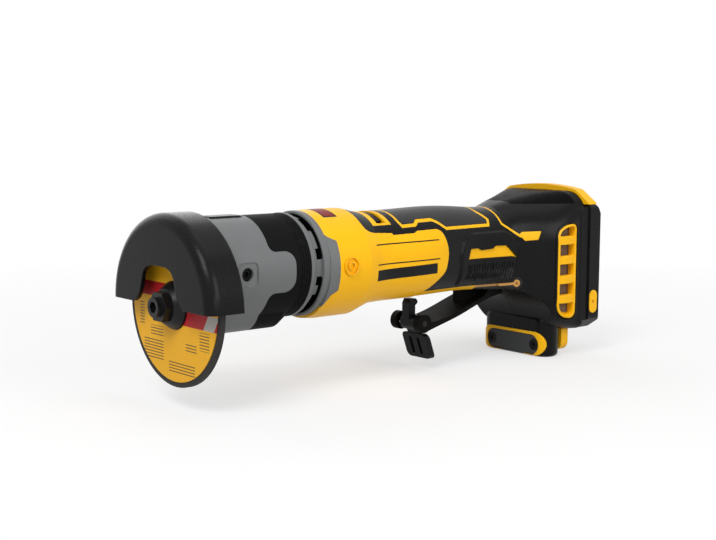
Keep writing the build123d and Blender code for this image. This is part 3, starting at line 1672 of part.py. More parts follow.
# Microswitch over the paddle, and the motor controller in front of it
plunger_tip = pivot_z + plunger_tip_rise
plunger_top = plunger_tip + plunger_length
with BuildPart() as switch_plunger:
    with BuildSketch(plan(plunger_tip)):
        with Locations((plunger_x, 0)):
            Circle(plunger_radius)
    extrude(amount=plunger_length)
pieces["switch_plunger"] = switch_plunger.part
switch_block = box(
    plunger_x - switch_half_length, plunger_x + switch_half_length, switch_half_width, switch_bottom,
    switch_top,
)
with BuildPart() as switch_body:
    add(switch_block)
    with BuildSketch(plan(switch_bottom)):
        with Locations((plunger_x, 0)):
            Circle(plunger_radius + running_fit)
    extrude(amount=plunger_top + plunger_travel + free_gap - switch_bottom, mode=Mode.SUBTRACT)
pieces["switch_body"] = switch_body.part
controller_bottom = prong_pocket_roof + channel_wall
pieces["controller"] = box(
    handle_front + controller_setback, handle_front + controller_setback + controller_length,
    controller_half_width, controller_bottom, controller_bottom + controller_height,
)

# Battery receiver: rails open to the rear and below, terminals, bumper strip, plugs and catch
receiver_outline = cross_bar(
    [
        (receiver_front, foot_top), (receiver_front + strip_length + free_gap, foot_top),
        (rear, receiver_rear_top), (rear, foot_bottom + receiver_chamfer),
        (rear - receiver_chamfer, foot_bottom), (receiver_front, foot_bottom),
    ],
    foot_half_width * 2,
)
recess_front = rear - rail_depth
terminal_front = recess_front - terminal_depth + terminal_proud
terminal_box = box(
    terminal_front, recess_front + terminal_proud, terminal_half_width, terminal_low,
    terminal_low + terminal_height,
)
terminal_window = box(
    terminal_front - wall, recess_front + terminal_proud, terminal_half_width + slip_fit,
    terminal_low - slip_fit, terminal_low + terminal_height + slip_fit,
)
plug_front = rear - plug_setback


def side_plug(gap):
    """Oval plugs in both sides of the receiver, grown by the gap."""
    with BuildPart() as plugs:
        for hand in (-1, 1):
            face = side_plane(plug_front + plug_length / 2, hand, foot_half_width - plug_depth)
            with BuildSketch(face):
                with Locations((0, -hand * plug_z)):
                    RectangleRounded(
                        plug_length + 2 * gap, plug_height + 2 * gap, plug_length / 2 + gap - slip_fit
                    )
            extrude(amount=plug_depth + plug_proud)
    return plugs.part


def receiver_face(rim=0.0):
    """Rear view of the receiver, crowned on top with cut corners, grown by the rim."""
    side_low = foot_bottom + lower_chamfer
    base_half = foot_half_width - lower_chamfer
    with BuildSketch(station(receiver_front)) as face:
        with BuildLine():
            crown = ThreePointArc(
                (-crown_half, foot_top - crown_drop), (0, foot_top), (crown_half, foot_top - crown_drop)
            )
            Polyline(
                crown @ 1, (foot_half_width, crown_side), (foot_half_width, side_low),
                (base_half, foot_bottom), (-base_half, foot_bottom), (-foot_half_width, side_low),
                (-foot_half_width, crown_side), crown @ 0,
            )
        make_face()
        fillet(face.vertices(), receiver_round)
        if rim:
            offset(amount=rim, mode=Mode.REPLACE)
    return face.sketch


with BuildPart() as receiver_plan:
    with BuildSketch(plan(foot_bottom)) as face:
        with Locations((rear, 0)):
            Rectangle(2 * receiver_depth, 2 * foot_half_width, align=(Align.MAX, Align.CENTER))
        chamfer(face.vertices().group_by(Axis.X)[-1], receiver_edge)
    extrude(amount=foot_top - foot_bottom)
with BuildPart() as battery_receiver:
    extrude(receiver_face(), amount=receiver_depth)
    add(receiver_outline, mode=Mode.INTERSECT)
    add(receiver_plan.part, mode=Mode.INTERSECT)
    add(side_steps, mode=Mode.SUBTRACT)
    with BuildSketch(station(receiver_front - spigot_depth)):
        with Locations((0, (spigot_top + spigot_bottom) / 2)):
            Rectangle(2 * spigot_half_width, spigot_top - spigot_bottom)
    extrude(amount=spigot_depth)
    add(
        box(recess_front, rear - rail_lip_depth, rail_half_width, foot_bottom, rail_top),
        mode=Mode.SUBTRACT,
    )
    add(
        box(recess_front, rear, rail_half_width - rail_lip, foot_bottom, rail_top), mode=Mode.SUBTRACT
    )
    add(terminal_window, mode=Mode.SUBTRACT)
    add(side_plug(0), mode=Mode.SUBTRACT)
pieces["battery_receiver"] = battery_receiver.part
with BuildPart() as terminal_blades:
    with BuildSketch(plan(terminal_low + (terminal_height - blade_length) / 2)):
        with Locations((recess_front + terminal_proud, 0)):
            with GridLocations(0, blade_pitch, 1, blade_count):
                Rectangle(2 * blade_reach, blade_thickness)
    extrude(amount=blade_length)
with BuildPart() as terminal_block:
    add(terminal_box)
    add(terminal_blades.part, mode=Mode.SUBTRACT)
pieces["terminal_block"] = terminal_block.part
pieces["terminal_blades"] = terminal_blades.part
with BuildPart() as side_plugs:
    add(side_plug(0))
    for hand in (-1, 1):
        face = side_plane(plug_front + plug_length / 2, hand, foot_half_width + plug_proud)
        with BuildSketch(face):
            with Locations((0, -hand * plug_z)):
                Circle(plug_hole_radius)
        extrude(amount=-plug_hole_depth, mode=Mode.SUBTRACT)
pieces["side_plugs"] = side_plugs.part
with BuildPart() as foot_strip:
    extrude(receiver_face(strip_thickness), amount=strip_length + free_gap)
    extrude(receiver_face(), amount=strip_length + free_gap, mode=Mode.SUBTRACT)
    split(bisect_by=plan(strip_end), keep=Keep.TOP)
    split(bisect_by=station(receiver_front + free_gap), keep=Keep.TOP)
pieces["foot_strip"] = foot_strip.part
with BuildPart() as latch_catch:
    with BuildSketch(station(bay_back + catch_gap)) as face:
        with Locations((0, foot_bottom)):
            Rectangle(
                2 * catch_half_width, foot_bottom - catch_bottom, align=(Align.CENTER, Align.MAX)
            )
        fillet(face.vertices().group_by(Axis.Y)[0], catch_round)
    extrude(amount=catch_thickness)
pieces["latch_catch"] = latch_catch.part

os.makedirs("parts", exist_ok=True)
for name, piece in pieces.items():
    piece.label = name
    export_step(piece, "parts/" + name + ".step")
    print(name, piece.is_valid, len(piece.solids()), round(piece.volume, 1))
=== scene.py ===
"""Looks of the in-line cordless cut-off tool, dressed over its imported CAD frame."""

import math

import bpy
from mathutils import Matrix, Vector


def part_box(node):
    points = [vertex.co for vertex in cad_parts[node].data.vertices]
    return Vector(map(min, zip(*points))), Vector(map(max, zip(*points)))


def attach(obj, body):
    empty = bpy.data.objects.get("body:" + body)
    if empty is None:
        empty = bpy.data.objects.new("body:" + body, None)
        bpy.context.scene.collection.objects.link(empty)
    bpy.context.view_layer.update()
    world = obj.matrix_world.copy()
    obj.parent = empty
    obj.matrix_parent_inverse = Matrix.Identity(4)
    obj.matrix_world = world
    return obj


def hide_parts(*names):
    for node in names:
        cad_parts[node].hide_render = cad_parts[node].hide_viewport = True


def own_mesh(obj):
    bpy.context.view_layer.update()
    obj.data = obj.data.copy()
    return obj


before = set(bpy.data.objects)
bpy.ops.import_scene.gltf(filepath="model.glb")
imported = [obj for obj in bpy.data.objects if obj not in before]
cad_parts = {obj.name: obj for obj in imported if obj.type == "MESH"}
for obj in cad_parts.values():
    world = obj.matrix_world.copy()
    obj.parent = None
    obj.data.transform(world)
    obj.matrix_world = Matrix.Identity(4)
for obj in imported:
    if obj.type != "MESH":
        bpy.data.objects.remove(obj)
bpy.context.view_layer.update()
bpy.ops.object.select_all(action="DESELECT")

# Stations of the part: distances behind the wheel's face and above the motor's axis, in millimetres
CENTRE_X = 126.7
AXIS_HEIGHT = 63.5
SPINDLE_Z = -14.4
MM = 0.001


def place(x, y, z):
    """A station of the part as a point of the shared frame, in metres."""
    return Vector(((x - CENTRE_X) * MM, y * MM, (z + AXIS_HEIGHT) * MM))


def station(point):
    """A point of the shared frame as distances along, across and up, in the part's millimetres."""
    return point.x / MM + CENTRE_X, point.y / MM, point.z / MM - AXIS_HEIGHT


# Colour and node helpers


def linear(code):
    """An sRGB hex colour as linear red, green, blue and alpha."""
    channels = [int(code[start : start + 2], 16) / 255 for start in (1, 3, 5)]
    return [c / 12.92 if c <= 0.04045 else ((c + 0.055) / 1.055) ** 2.4 for c in channels] + [1.0]


def add_node(tree, kind, settings=None, links=None):
    """Adds one node with its settings, linked from sockets or from the first outputs of nodes."""
    made = tree.nodes.new(kind)
    for key, value in (settings or {}).items():
        if isinstance(key, str) and hasattr(made, key):
            setattr(made, key, value)
        else:
            made.inputs[key].default_value = value
    for key, source in (links or {}).items():
        if isinstance(source, bpy.types.Node):
            source = source.outputs[0]
        tree.links.new(source, made.inputs[key])
    return made


def open_material(material):
    """A material's tree, its surface shader and its object coordinates."""
    tree = material.node_tree
    coords = add_node(tree, "ShaderNodeTexCoord").outputs["Object"]
    return tree, tree.nodes["Principled BSDF"], coords


def start_material(name):
    """A new material, with its tree, its surface shader and its object coordinates."""
    material = bpy.data.materials.new(name)
    material.use_nodes = True
    return material, *open_material(material)


def per_metre(size_mm):
    """Texture scale whose pattern repeats about every size_mm."""
    return 1000.0 / size_mm


# Sockets of a colour Mix node
MIX_A = 6
MIX_B = 7
MIX_OUT = 2

# Sizes of the patterns in the materials, in millimetres
CLOUD_MM = 9.0
SCUFF_MM = 3.0
BLOTCH_MM = 4.0
GRIT_MM = 0.7
WRINKLE_MM = 2.5
DOT_MM = 1.3
# Paper's fibres are finer than this, and are drawn as coarse as they need to show
FIBRE_MM = 0.6

# The wave texture counts in radians
WAVE_TURN = 6.283

# Materials


def moulded(name, colour, shade, worn_and_highlit, roughness, grain_mm, relief_mm, edge_mm, level):
    """Moulded plastic or rubber, or a sprayed coat: grained, unevenly glossy, its corners paler in patches,
    partly rubbed and partly a painted highlight.
    """
    material, tree, shader, coords = start_material(name)
    cloud = add_node(
        tree, "ShaderNodeTexNoise", {"Scale": per_metre(CLOUD_MM), "Detail": 3.0}, {"Vector": coords}
    )
    tint = add_node(
        tree,
        "ShaderNodeMix",
        {"data_type": "RGBA", MIX_A: linear(colour), MIX_B: linear(shade)},
        {0: cloud.outputs["Fac"]},
    )
    # A corner is where the rounded normal leaves the face's own; it is painted paler in patches, partly as
    # rubbing and partly as a painted highlight along the edge
    edge = add_node(tree, "ShaderNodeBevel", {"samples": 4, "Radius": edge_mm * MM})
    facing = add_node(tree, "ShaderNodeNewGeometry")
    turn = add_node(
        tree,
        "ShaderNodeVectorMath",
        {"operation": "DOT_PRODUCT"},
        {0: edge.outputs["Normal"], 1: facing.outputs["Normal"]},
    )
    corner = add_node(
        tree, "ShaderNodeMapRange", {"From Min": 0.995, "From Max": 0.88}, {"Value": turn.outputs["Value"]}
    )
    scuff = add_node(
        tree, "ShaderNodeTexNoise", {"Scale": per_metre(SCUFF_MM), "Detail": 5.0}, {"Vector": coords}
    )
    patch = add_node(
        tree,
        "ShaderNodeMapRange",
        {"From Min": 0.42, "From Max": 0.66, "To Max": 0.55},
        {"Value": scuff.outputs["Fac"]},
    )
    wear_and_highlight = add_node(
        tree,
        "ShaderNodeMath",
        {"operation": "MULTIPLY"},
        {0: corner.outputs["Result"], 1: patch.outputs["Result"]},
    )
    rubbed_and_highlit = add_node(
        tree,
        "ShaderNodeMix",
        {"data_type": "RGBA", MIX_B: linear(worn_and_highlit)},
        {0: wear_and_highlight, MIX_A: tint.outputs[MIX_OUT]},
    )
    tree.links.new(rubbed_and_highlit.outputs[MIX_OUT], shader.inputs["Base Color"])
    # A mould's grain is too fine to show, so it is drawn as coarse as it needs to
    grain = add_node(
        tree, "ShaderNodeTexNoise", {"Scale": per_metre(grain_mm), "Detail": 2.0}, {"Vector": coords}
    )
    handled = add_node(
        tree,
        "ShaderNodeMath",
        {"operation": "MULTIPLY_ADD", 1: 0.4},
        {0: scuff.outputs["Fac"], 2: grain.outputs["Fac"]},
    )
    gloss = add_node(
        tree,
        "ShaderNodeMapRange",
        {"From Min": 0.4, "From Max": 1.0, "To Min": roughness - 0.07, "To Max": roughness + 0.07},
        {"Value": handled},
    )
    tree.links.new(gloss.outputs["Result"], shader.inputs["Roughness"])
    bump = add_node(
        tree,
        "ShaderNodeBump",
        {"Strength": 0.5, "Distance": relief_mm * MM},
        {"Height": grain.outputs["Fac"], "Normal": edge.outputs["Normal"]},
    )
    tree.links.new(bump.outputs["Normal"], shader.inputs["Normal"])
    shader.inputs["IOR"].default_value = 1.5
    shader.inputs["Specular IOR Level"].default_value = level
    return material


# Colour, clouded colour and paler corner colour of a moulding, partly rubbing and partly a painted
# highlight, then its roughness, the size and relief of its grain, the rounding of its corners and the
# strength of its shine
YELLOW = ("#fdbe06", "#f9b704", "#ffd768", 0.4, 0.7, 0.02, 0.5, 0.22)
GREY = ("#6e7071", "#676969", "#8d8f90", 0.46, 0.7, 0.03, 0.5, 0.25)

# Glass-filled nylon from a spark-eroded mould: satin, with a grain that breaks the highlights
yellow_nylon = moulded("glass_filled_nylon_yellow_moulded", *YELLOW)
black_nylon = moulded(
    "glass_filled_nylon_black_moulded", "#0c0c0d", "#09090a", "#313132", 0.36, 0.7, 0.02, 0.5, 0.12
)
grey_nylon = moulded("glass_filled_nylon_grey_moulded", *GREY)
dark_nylon = moulded(
    "glass_filled_nylon_charcoal_moulded", "#3f4041", "#393a3b", "#5e5f60", 0.5, 0.7, 0.03, 0.4, 0.15
)
# The black nylon with a duller texture, where the hand squeezes the paddle
paddle_nylon = moulded(
    "glass_filled_nylon_black_textured", "#131211", "#100f0e", "#302f2e", 0.52, 0.7, 0.03, 0.5, 0.03
)
# Rubber moulded over the shells: a faint sheen over a broad, shallow grain
soft_grip = moulded(
    "thermoplastic_elastomer_overmoulded", "#0f0f10", "#0c0c0d", "#2c2c2d", 0.29, 1.0, 0.01, 0.6, 0.11
)
# The same rubber on the ribbed pads, with the edges of the ribs and pad pale: partly polished by the hand,
# partly a painted highlight
pad_rubber_highlit = moulded(
    "thermoplastic_elastomer_ribbed", "#0e0e0f", "#0b0b0c", "#6a6b6e", 0.29, 1.0, 0.01, 0.3, 0.11
)
# The same rubber on the handle's crown, where it shines most
crown_rubber = moulded(
    "thermoplastic_elastomer_smooth_moulded", "#0f0f10", "#0c0c0d", "#303031", 0.4, 1.0, 0.02, 0.6, 0.3
)
# Rubber bumper round the nose: black, with hardly any sheen
collar_rubber = moulded(
    "thermoplastic_elastomer_bumper_moulded", "#19191a", "#161617", "#323233", 0.5, 0.8, 0.02, 0.4, 0.015
)
# Powder coat baked on pressed steel: smooth with a slight orange peel, and glossy along its rolled edge
guard_paint = moulded(
    "steel_powder_coated_black", "#131314", "#101011", "#39393a", 0.27, 1.6, 0.012, 0.9, 0.11
)
# Coated board of the controller
circuit = moulded("epoxy_board_coated", "#1d4a33", "#173f2b", "#2f6a4c", 0.45, 0.6, 0.03, 0.2, 0.4)
# Pad-printed ink: a flat black film that follows the moulded grain
panel_ink = moulded("ink_black_pad_printed", "#0e0e0e", "#0b0b0c", "#242424", 0.45, 0.7, 0.01, 0.05, 0.15)


def turned_metal(name, colour, metallic, roughness, ring_mm, level=0.5):
    """Turned, ground or cast metal: fine rings along the machine's axis and a broken gleam."""
    material, tree, shader, coords = start_material(name)
    # Tool marks, sheets and wires are too fine to show, so they are drawn as coarse as they need to
    rings = add_node(
        tree,
        "ShaderNodeTexWave",
        {"bands_direction": "X", "Scale": per_metre(ring_mm) / WAVE_TURN, "Distortion": 1.5, "Detail": 2.0},
        {"Vector": coords},
    )
    blotch = add_node(
        tree, "ShaderNodeTexNoise", {"Scale": per_metre(BLOTCH_MM), "Detail": 4.0}, {"Vector": coords}
    )
    gloss = add_node(
        tree,
        "ShaderNodeMapRange",
        {"From Min": 0.25, "From Max": 0.75, "To Min": roughness - 0.08, "To Max": roughness + 0.1},
        {"Value": blotch.outputs["Fac"]},
    )
    tree.links.new(gloss.outputs["Result"], shader.inputs["Roughness"])
    edge = add_node(tree, "ShaderNodeBevel", {"samples": 4, "Radius": 0.25 * MM})
    bump = add_node(
        tree,
        "ShaderNodeBump",
        {"Strength": 0.25, "Distance": 0.02 * MM},
        {"Height": rings.outputs["Fac"], "Normal": edge.outputs["Normal"]},
    )
    tree.links.new(bump.outputs["Normal"], shader.inputs["Normal"])
    shader.inputs["Base Color"].default_value = linear(colour)
    shader.inputs["Metallic"].default_value = metallic
    shader.inputs["Specular IOR Level"].default_value = level
    return material


# Bright working steel, oiled and ground
steel = turned_metal("steel_ground", "#b9b7b2", 1.0, 0.28, 0.5)
# Blackened flanges, clamp screw and pins: nearly black, with a dull metal gleam
black_steel = turned_metal("steel_black_oxide_turned", "#121213", 0.0, 0.36, 0.5, 0.22)
# Screw heads sunk in their pockets: the blackest metal, dull with oil
socket_steel = turned_metal("steel_black_oxide_socket", "#060607", 0.0, 0.4, 0.5, 0.12)
# Woven wire gauze behind the grilles, dull brown as painted shade: it stands in for the shaded inside seen
# through the windows
wire_gauze = turned_metal("steel_gauze_woven", "#6b5a4c", 0.0, 0.6, 0.9, 0.2)
# Pressure-cast gear case: paler and duller than the steel, with a coarse skin
cast_alloy = turned_metal("aluminium_die_cast", "#a5a6a6", 1.0, 0.45, 1.2)
# Stamped sheets in a stack, seen as fine lines round the motor
lamination = turned_metal("electrical_steel_stacked", "#6d6a66", 1.0, 0.42, 0.5)
# Varnished winding wire, seen as lines round the coils
copper = turned_metal("copper_enamelled_wound", "#a45a2a", 1.0, 0.3, 0.9)
# Tinned contact blades
brass = turned_metal("brass_tinned_stamped", "#c8b48a", 1.0, 0.25, 0.8)


def bonded_abrasive():
    """Pressed abrasive: dark resin with coarse paler grit standing out of it."""
    material, tree, shader, coords = start_material("resin_bonded_abrasive_pressed")
    grit = add_node(
        tree, "ShaderNodeTexVoronoi", {"Scale": per_metre(GRIT_MM), "feature": "F1"}, {"Vector": coords}
    )
    colour = add_node(tree, "ShaderNodeValToRGB", {}, {"Fac": grit.outputs["Distance"]})
    colour.color_ramp.elements[0].color = linear("#2b2927")
    colour.color_ramp.elements[1].color = linear("#131211")
    tree.links.new(colour.outputs["Color"], shader.inputs["Base Color"])
    bump = add_node(
        tree,
        "ShaderNodeBump",
        {"Strength": 0.8, "Distance": 0.2 * MM, "invert": True},
        {"Height": grit.outputs["Distance"]},
    )
    tree.links.new(bump.outputs["Normal"], shader.inputs["Normal"])
    shader.inputs["Roughness"].default_value = 0.85
    return material


# Print on the wheel's label, in millimetres across and above its centre: blocks of thin rules as middle and
# half of their width and of their height, the bar on each side of the hub and the field at its end
RULE_BLOCKS = [
    (18.0, 8.5, -22.5, 4.6), (-6.0, 11.0, -29.0, 2.9), (28.0, 2.0, -6.6, 5.6),
    (15.0, 5.5, -13.6, 2.4), (-14.0, 4.5, -18.4, 2.4), (-25.0, 4.0, -14.0, 4.2),
]
RULE_SPACE = 0.7
RULE_HALF = 0.22
RED_STEP = 5.6
RED_MIDDLE = 0.5
RED_HALF = 3.4
FIELD_SLANT = 0.6
FIELD_MIDDLE = -33.4
FIELD_HALF = 4.2


def printed_paper():
    """Printed paper on the wheel's face: yellow, a red bar on each side of the hub, plain ruled lines."""
    material, tree, shader, coords = start_material("paper_label_printed")
    split = add_node(tree, "ShaderNodeSeparateXYZ", {}, {"Vector": coords})
    across = split.outputs["Y"]
    height = add_node(
        tree,
        "ShaderNodeMath",
        {"operation": "SUBTRACT", 1: place(0, 0, SPINDLE_Z).z},
        {0: split.outputs["Z"]},
    ).outputs[0]
    fibre = add_node(
        tree, "ShaderNodeTexNoise", {"Scale": per_metre(FIBRE_MM), "Detail": 4.0}, {"Vector": coords}
    )
    paper = add_node(
        tree,
        "ShaderNodeMix",
        {"data_type": "RGBA", MIX_A: linear("#fabb1d"), MIX_B: linear("#f0ae14")},
        {0: fibre.outputs["Fac"]},
    )
    # Rules of thin ink in plain blocks round the hub
    rule = add_node(tree, "ShaderNodeMath", {"operation": "PINGPONG", 1: RULE_SPACE * MM}, {0: height})
    inked = add_node(tree, "ShaderNodeMath", {"operation": "LESS_THAN", 1: RULE_HALF * MM}, {0: rule})
    blocks = []
    for y_middle, y_half, z_middle, z_half in RULE_BLOCKS:
        in_y = add_node(
            tree, "ShaderNodeMath", {"operation": "COMPARE", 1: y_middle * MM, 2: y_half * MM}, {0: across}
        )
        in_z = add_node(
            tree, "ShaderNodeMath", {"operation": "COMPARE", 1: z_middle * MM, 2: z_half * MM}, {0: height}
        )
        blocks.append(add_node(tree, "ShaderNodeMath", {"operation": "MULTIPLY"}, {0: in_y, 1: in_z}))
    covered = blocks[0]
    for block in blocks[1:]:
        covered = add_node(tree, "ShaderNodeMath", {"operation": "MAXIMUM"}, {0: covered, 1: block})
    ruled = add_node(tree, "ShaderNodeMath", {"operation": "MULTIPLY"}, {0: covered, 1: inked})
    ink = add_node(
        tree,
        "ShaderNodeMix",
        {"data_type": "RGBA", MIX_B: linear("#4a3a1c")},
        {0: ruled, MIX_A: paper.outputs[MIX_OUT]},
    )
    # The bar sits high on one side of the hub and low on the other
    side = add_node(tree, "ShaderNodeMath", {"operation": "SIGN"}, {0: across})
    from_bar = add_node(
        tree, "ShaderNodeMath", {"operation": "MULTIPLY_ADD", 1: -RED_STEP * MM}, {0: side, 2: height}
    )
    bar = add_node(
        tree,
        "ShaderNodeMath",
        {"operation": "COMPARE", 1: RED_MIDDLE * MM, 2: RED_HALF * MM},
        {0: from_bar},
    )
    banded = add_node(
        tree,
        "ShaderNodeMix",
        {"data_type": "RGBA", MIX_B: linear("#b0141c")},
        {0: bar, MIX_A: ink.outputs[MIX_OUT]},
    )
    # A pale slanted field at the bar's outer end
    slant = add_node(
        tree, "ShaderNodeMath", {"operation": "MULTIPLY_ADD", 1: FIELD_SLANT}, {0: height, 2: across}
    )
    field = add_node(
        tree,
        "ShaderNodeMath",
        {"operation": "COMPARE", 1: FIELD_MIDDLE * MM, 2: FIELD_HALF * MM},
        {0: slant},
    )
    on_bar = add_node(tree, "ShaderNodeMath", {"operation": "MULTIPLY"}, {0: field, 1: bar})
    printed = add_node(
        tree,
        "ShaderNodeMix",
        {"data_type": "RGBA", MIX_B: linear("#b9b4ae")},
        {0: on_bar, MIX_A: banded.outputs[MIX_OUT]},
    )
    tree.links.new(printed.outputs[MIX_OUT], shader.inputs["Base Color"])
    bump = add_node(
        tree, "ShaderNodeBump", {"Strength": 0.3, "Distance": 0.03 * MM}, {"Height": fibre.outputs["Fac"]}
    )
    tree.links.new(bump.outputs["Normal"], shader.inputs["Normal"])
    shader.inputs["Roughness"].default_value = 0.5
    shader.inputs["Specular IOR Level"].default_value = 0.3
    return material


def bordered_film():
    """Vinyl film on the barrel's crown: deep red with a printed dark border."""
    material, tree, shader, coords = start_material("vinyl_film_red_printed")
    split = add_node(tree, "ShaderNodeSeparateXYZ", {}, {"Vector": coords})
    low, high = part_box("direction_label")
    border = 0.9 * MM
    spans = []
    for axis in (0, 1):
        middle = (low[axis] + high[axis]) / 2
        half = (high[axis] - low[axis]) / 2 - border
        spans.append(
            add_node(
                tree,
                "ShaderNodeMath",
                {"operation": "COMPARE", 1: middle, 2: half},
                {0: split.outputs[axis]},
            )
        )
    field = add_node(tree, "ShaderNodeMath", {"operation": "MULTIPLY"}, {0: spans[0], 1: spans[1]})
    ink = add_node(
        tree,
        "ShaderNodeMix",
        {"data_type": "RGBA", MIX_A: linear("#120b0b"), MIX_B: linear("#7c1512")},
        {0: field},
    )
    tree.links.new(ink.outputs[MIX_OUT], shader.inputs["Base Color"])
    wrinkle = add_node(
        tree, "ShaderNodeTexNoise", {"Scale": per_metre(WRINKLE_MM), "Detail": 2.0}, {"Vector": coords}
    )
    bump = add_node(
        tree,
        "ShaderNodeBump",
        {"Strength": 0.2, "Distance": 0.05 * MM},
        {"Height": wrinkle.outputs["Fac"]},
    )
    tree.links.new(bump.outputs["Normal"], shader.inputs["Normal"])
    shader.inputs["Roughness"].default_value = 0.4
    shader.inputs["Specular IOR Level"].default_value = 0.12
    return material


# Dots on top of the foot: the level they begin at, the middle and half of their field, and their height
DOT_LEVEL = 24.0
DOT_MIDDLE = 229.0
DOT_HALF = 16.0
DOT_RISE = 0.3


def dot_foot(material):
    """Adds the fine dots moulded in rows in the rubber on top of the foot."""
    tree, shader, coords = open_material(material)
    split = add_node(tree, "ShaderNodeSeparateXYZ", {}, {"Vector": coords})
    above = add_node(
        tree,
        "ShaderNodeMath",
        {"operation": "GREATER_THAN", 1: place(0, 0, DOT_LEVEL).z},
        {0: split.outputs["Z"]},
    )
    along = add_node(
        tree,
        "ShaderNodeMath",
        {"operation": "COMPARE", 1: place(DOT_MIDDLE, 0, 0).x, 2: DOT_HALF * MM},
        {0: split.outputs["X"]},
    )
    where = add_node(tree, "ShaderNodeMath", {"operation": "MULTIPLY"}, {0: above, 1: along})
    dots = add_node(
        tree,
        "ShaderNodeTexVoronoi",
        {"voronoi_dimensions": "2D", "Scale": per_metre(DOT_MM), "Randomness": 0.0},
        {"Vector": coords},
    )
    rise = add_node(
        tree,
        "ShaderNodeMapRange",
        {"From Min": 0.15, "From Max": 0.45, "To Min": 1.0, "To Max": 0.0},
        {"Value": dots.outputs["Distance"]},
    )
    height = add_node(
        tree, "ShaderNodeMath", {"operation": "MULTIPLY"}, {0: rise.outputs["Result"], 1: where}
    )
    bump = add_node(
        tree,
        "ShaderNodeBump",
        {"Strength": 0.8, "Distance": DOT_RISE * MM},
        {"Height": height, "Normal": shader.inputs["Normal"].links[0].from_socket},
    )
    tree.links.new(bump.outputs["Normal"], shader.inputs["Normal"])
    # The dots break up the sheen, so the top of the foot stays darker than the rubber round it
    sheen = add_node(tree, "ShaderNodeMapRange", {"To Min": 0.11, "To Max": 0.012}, {"Value": where})
    tree.links.new(sheen.outputs["Result"], shader.inputs["Specular IOR Level"])


# The vent ring's channel: its length and back end, the radii under which a face is inside the ring or sunk
# in the channel, the width of the painted shadow line along its back and half the width of the bridges that
# break that line
VENT_LENGTH = 7.2
VENT_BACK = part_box("nose_collar")[1][0] / MM + CENTRE_X + VENT_LENGTH
VENT_INSIDE = 23.5
VENT_SUNK = 24.7
VENT_SHADOW_LINE = 1.0
VENT_BRIDGE = 4.5


def shade_vents(material):
    """Paints shade black on the unlit inside of the vent ring and a shadow line along the back of its
    channel, with no sheen on either.
    """
    tree, shader, coords = open_material(material)
    offset = add_node(
        tree, "ShaderNodeVectorMath", {"operation": "SUBTRACT", 1: place(VENT_BACK, 0, 0)}, {0: coords}
    )
    split = add_node(tree, "ShaderNodeSeparateXYZ", {}, {"Vector": offset.outputs["Vector"]})
    flat = add_node(tree, "ShaderNodeCombineXYZ", {}, {"Y": split.outputs["Y"], "Z": split.outputs["Z"]})
    radius = add_node(tree, "ShaderNodeVectorMath", {"operation": "LENGTH"}, {0: flat.outputs["Vector"]})
    inner = add_node(
        tree,
        "ShaderNodeMath",
        {"operation": "LESS_THAN", 1: VENT_INSIDE * MM},
        {0: radius.outputs["Value"]},
    )
    along = add_node(
        tree,
        "ShaderNodeMath",
        {"operation": "COMPARE", 1: -0.5 * VENT_SHADOW_LINE * MM, 2: 0.5 * VENT_SHADOW_LINE * MM},
        {0: split.outputs["X"]},
    )
    sunk = add_node(
        tree,
        "ShaderNodeMath",
        {"operation": "LESS_THAN", 1: VENT_SUNK * MM},
        {0: radius.outputs["Value"]},
    )
    level = add_node(tree, "ShaderNodeMath", {"operation": "ABSOLUTE"}, {0: split.outputs["Z"]})
    off_bridge = add_node(
        tree, "ShaderNodeMath", {"operation": "GREATER_THAN", 1: VENT_BRIDGE * MM}, {0: level}
    )
    # The painted shadow line stands for the dark gap along the back of the channel, broken by the bridges
    line = add_node(tree, "ShaderNodeMath", {"operation": "MULTIPLY"}, {0: along, 1: sunk})
    shadow_line = add_node(tree, "ShaderNodeMath", {"operation": "MULTIPLY"}, {0: line, 1: off_bridge})
    painted_shade = add_node(tree, "ShaderNodeMath", {"operation": "MAXIMUM"}, {0: inner, 1: shadow_line})
    tint = add_node(
        tree,
        "ShaderNodeMix",
        {"data_type": "RGBA", MIX_B: linear("#0a0a0a")},
        {0: painted_shade, MIX_A: shader.inputs["Base Color"].links[0].from_socket},
    )
    tree.links.new(tint.outputs[MIX_OUT], shader.inputs["Base Color"])
    sheen = add_node(tree, "ShaderNodeMapRange", {"To Min": 0.25, "To Max": 0.0}, {"Value": painted_shade})
    tree.links.new(sheen.outputs["Result"], shader.inputs["Specular IOR Level"])


# The stripe under the handle, the ring at its end and the zone that is black round them
STRIPE_RING_X = 207.6
STRIPE_RING_Z = -19.2
STRIPE_RING_OUTER = 2.0
STRIPE_RING_INNER = 0.8
STRIPE_LOW = -20.0
STRIPE_HIGH = -18.5
STRIPE_ZONE_TOP = -14.0
STRIPE_ZONE_FRONT = 181.0


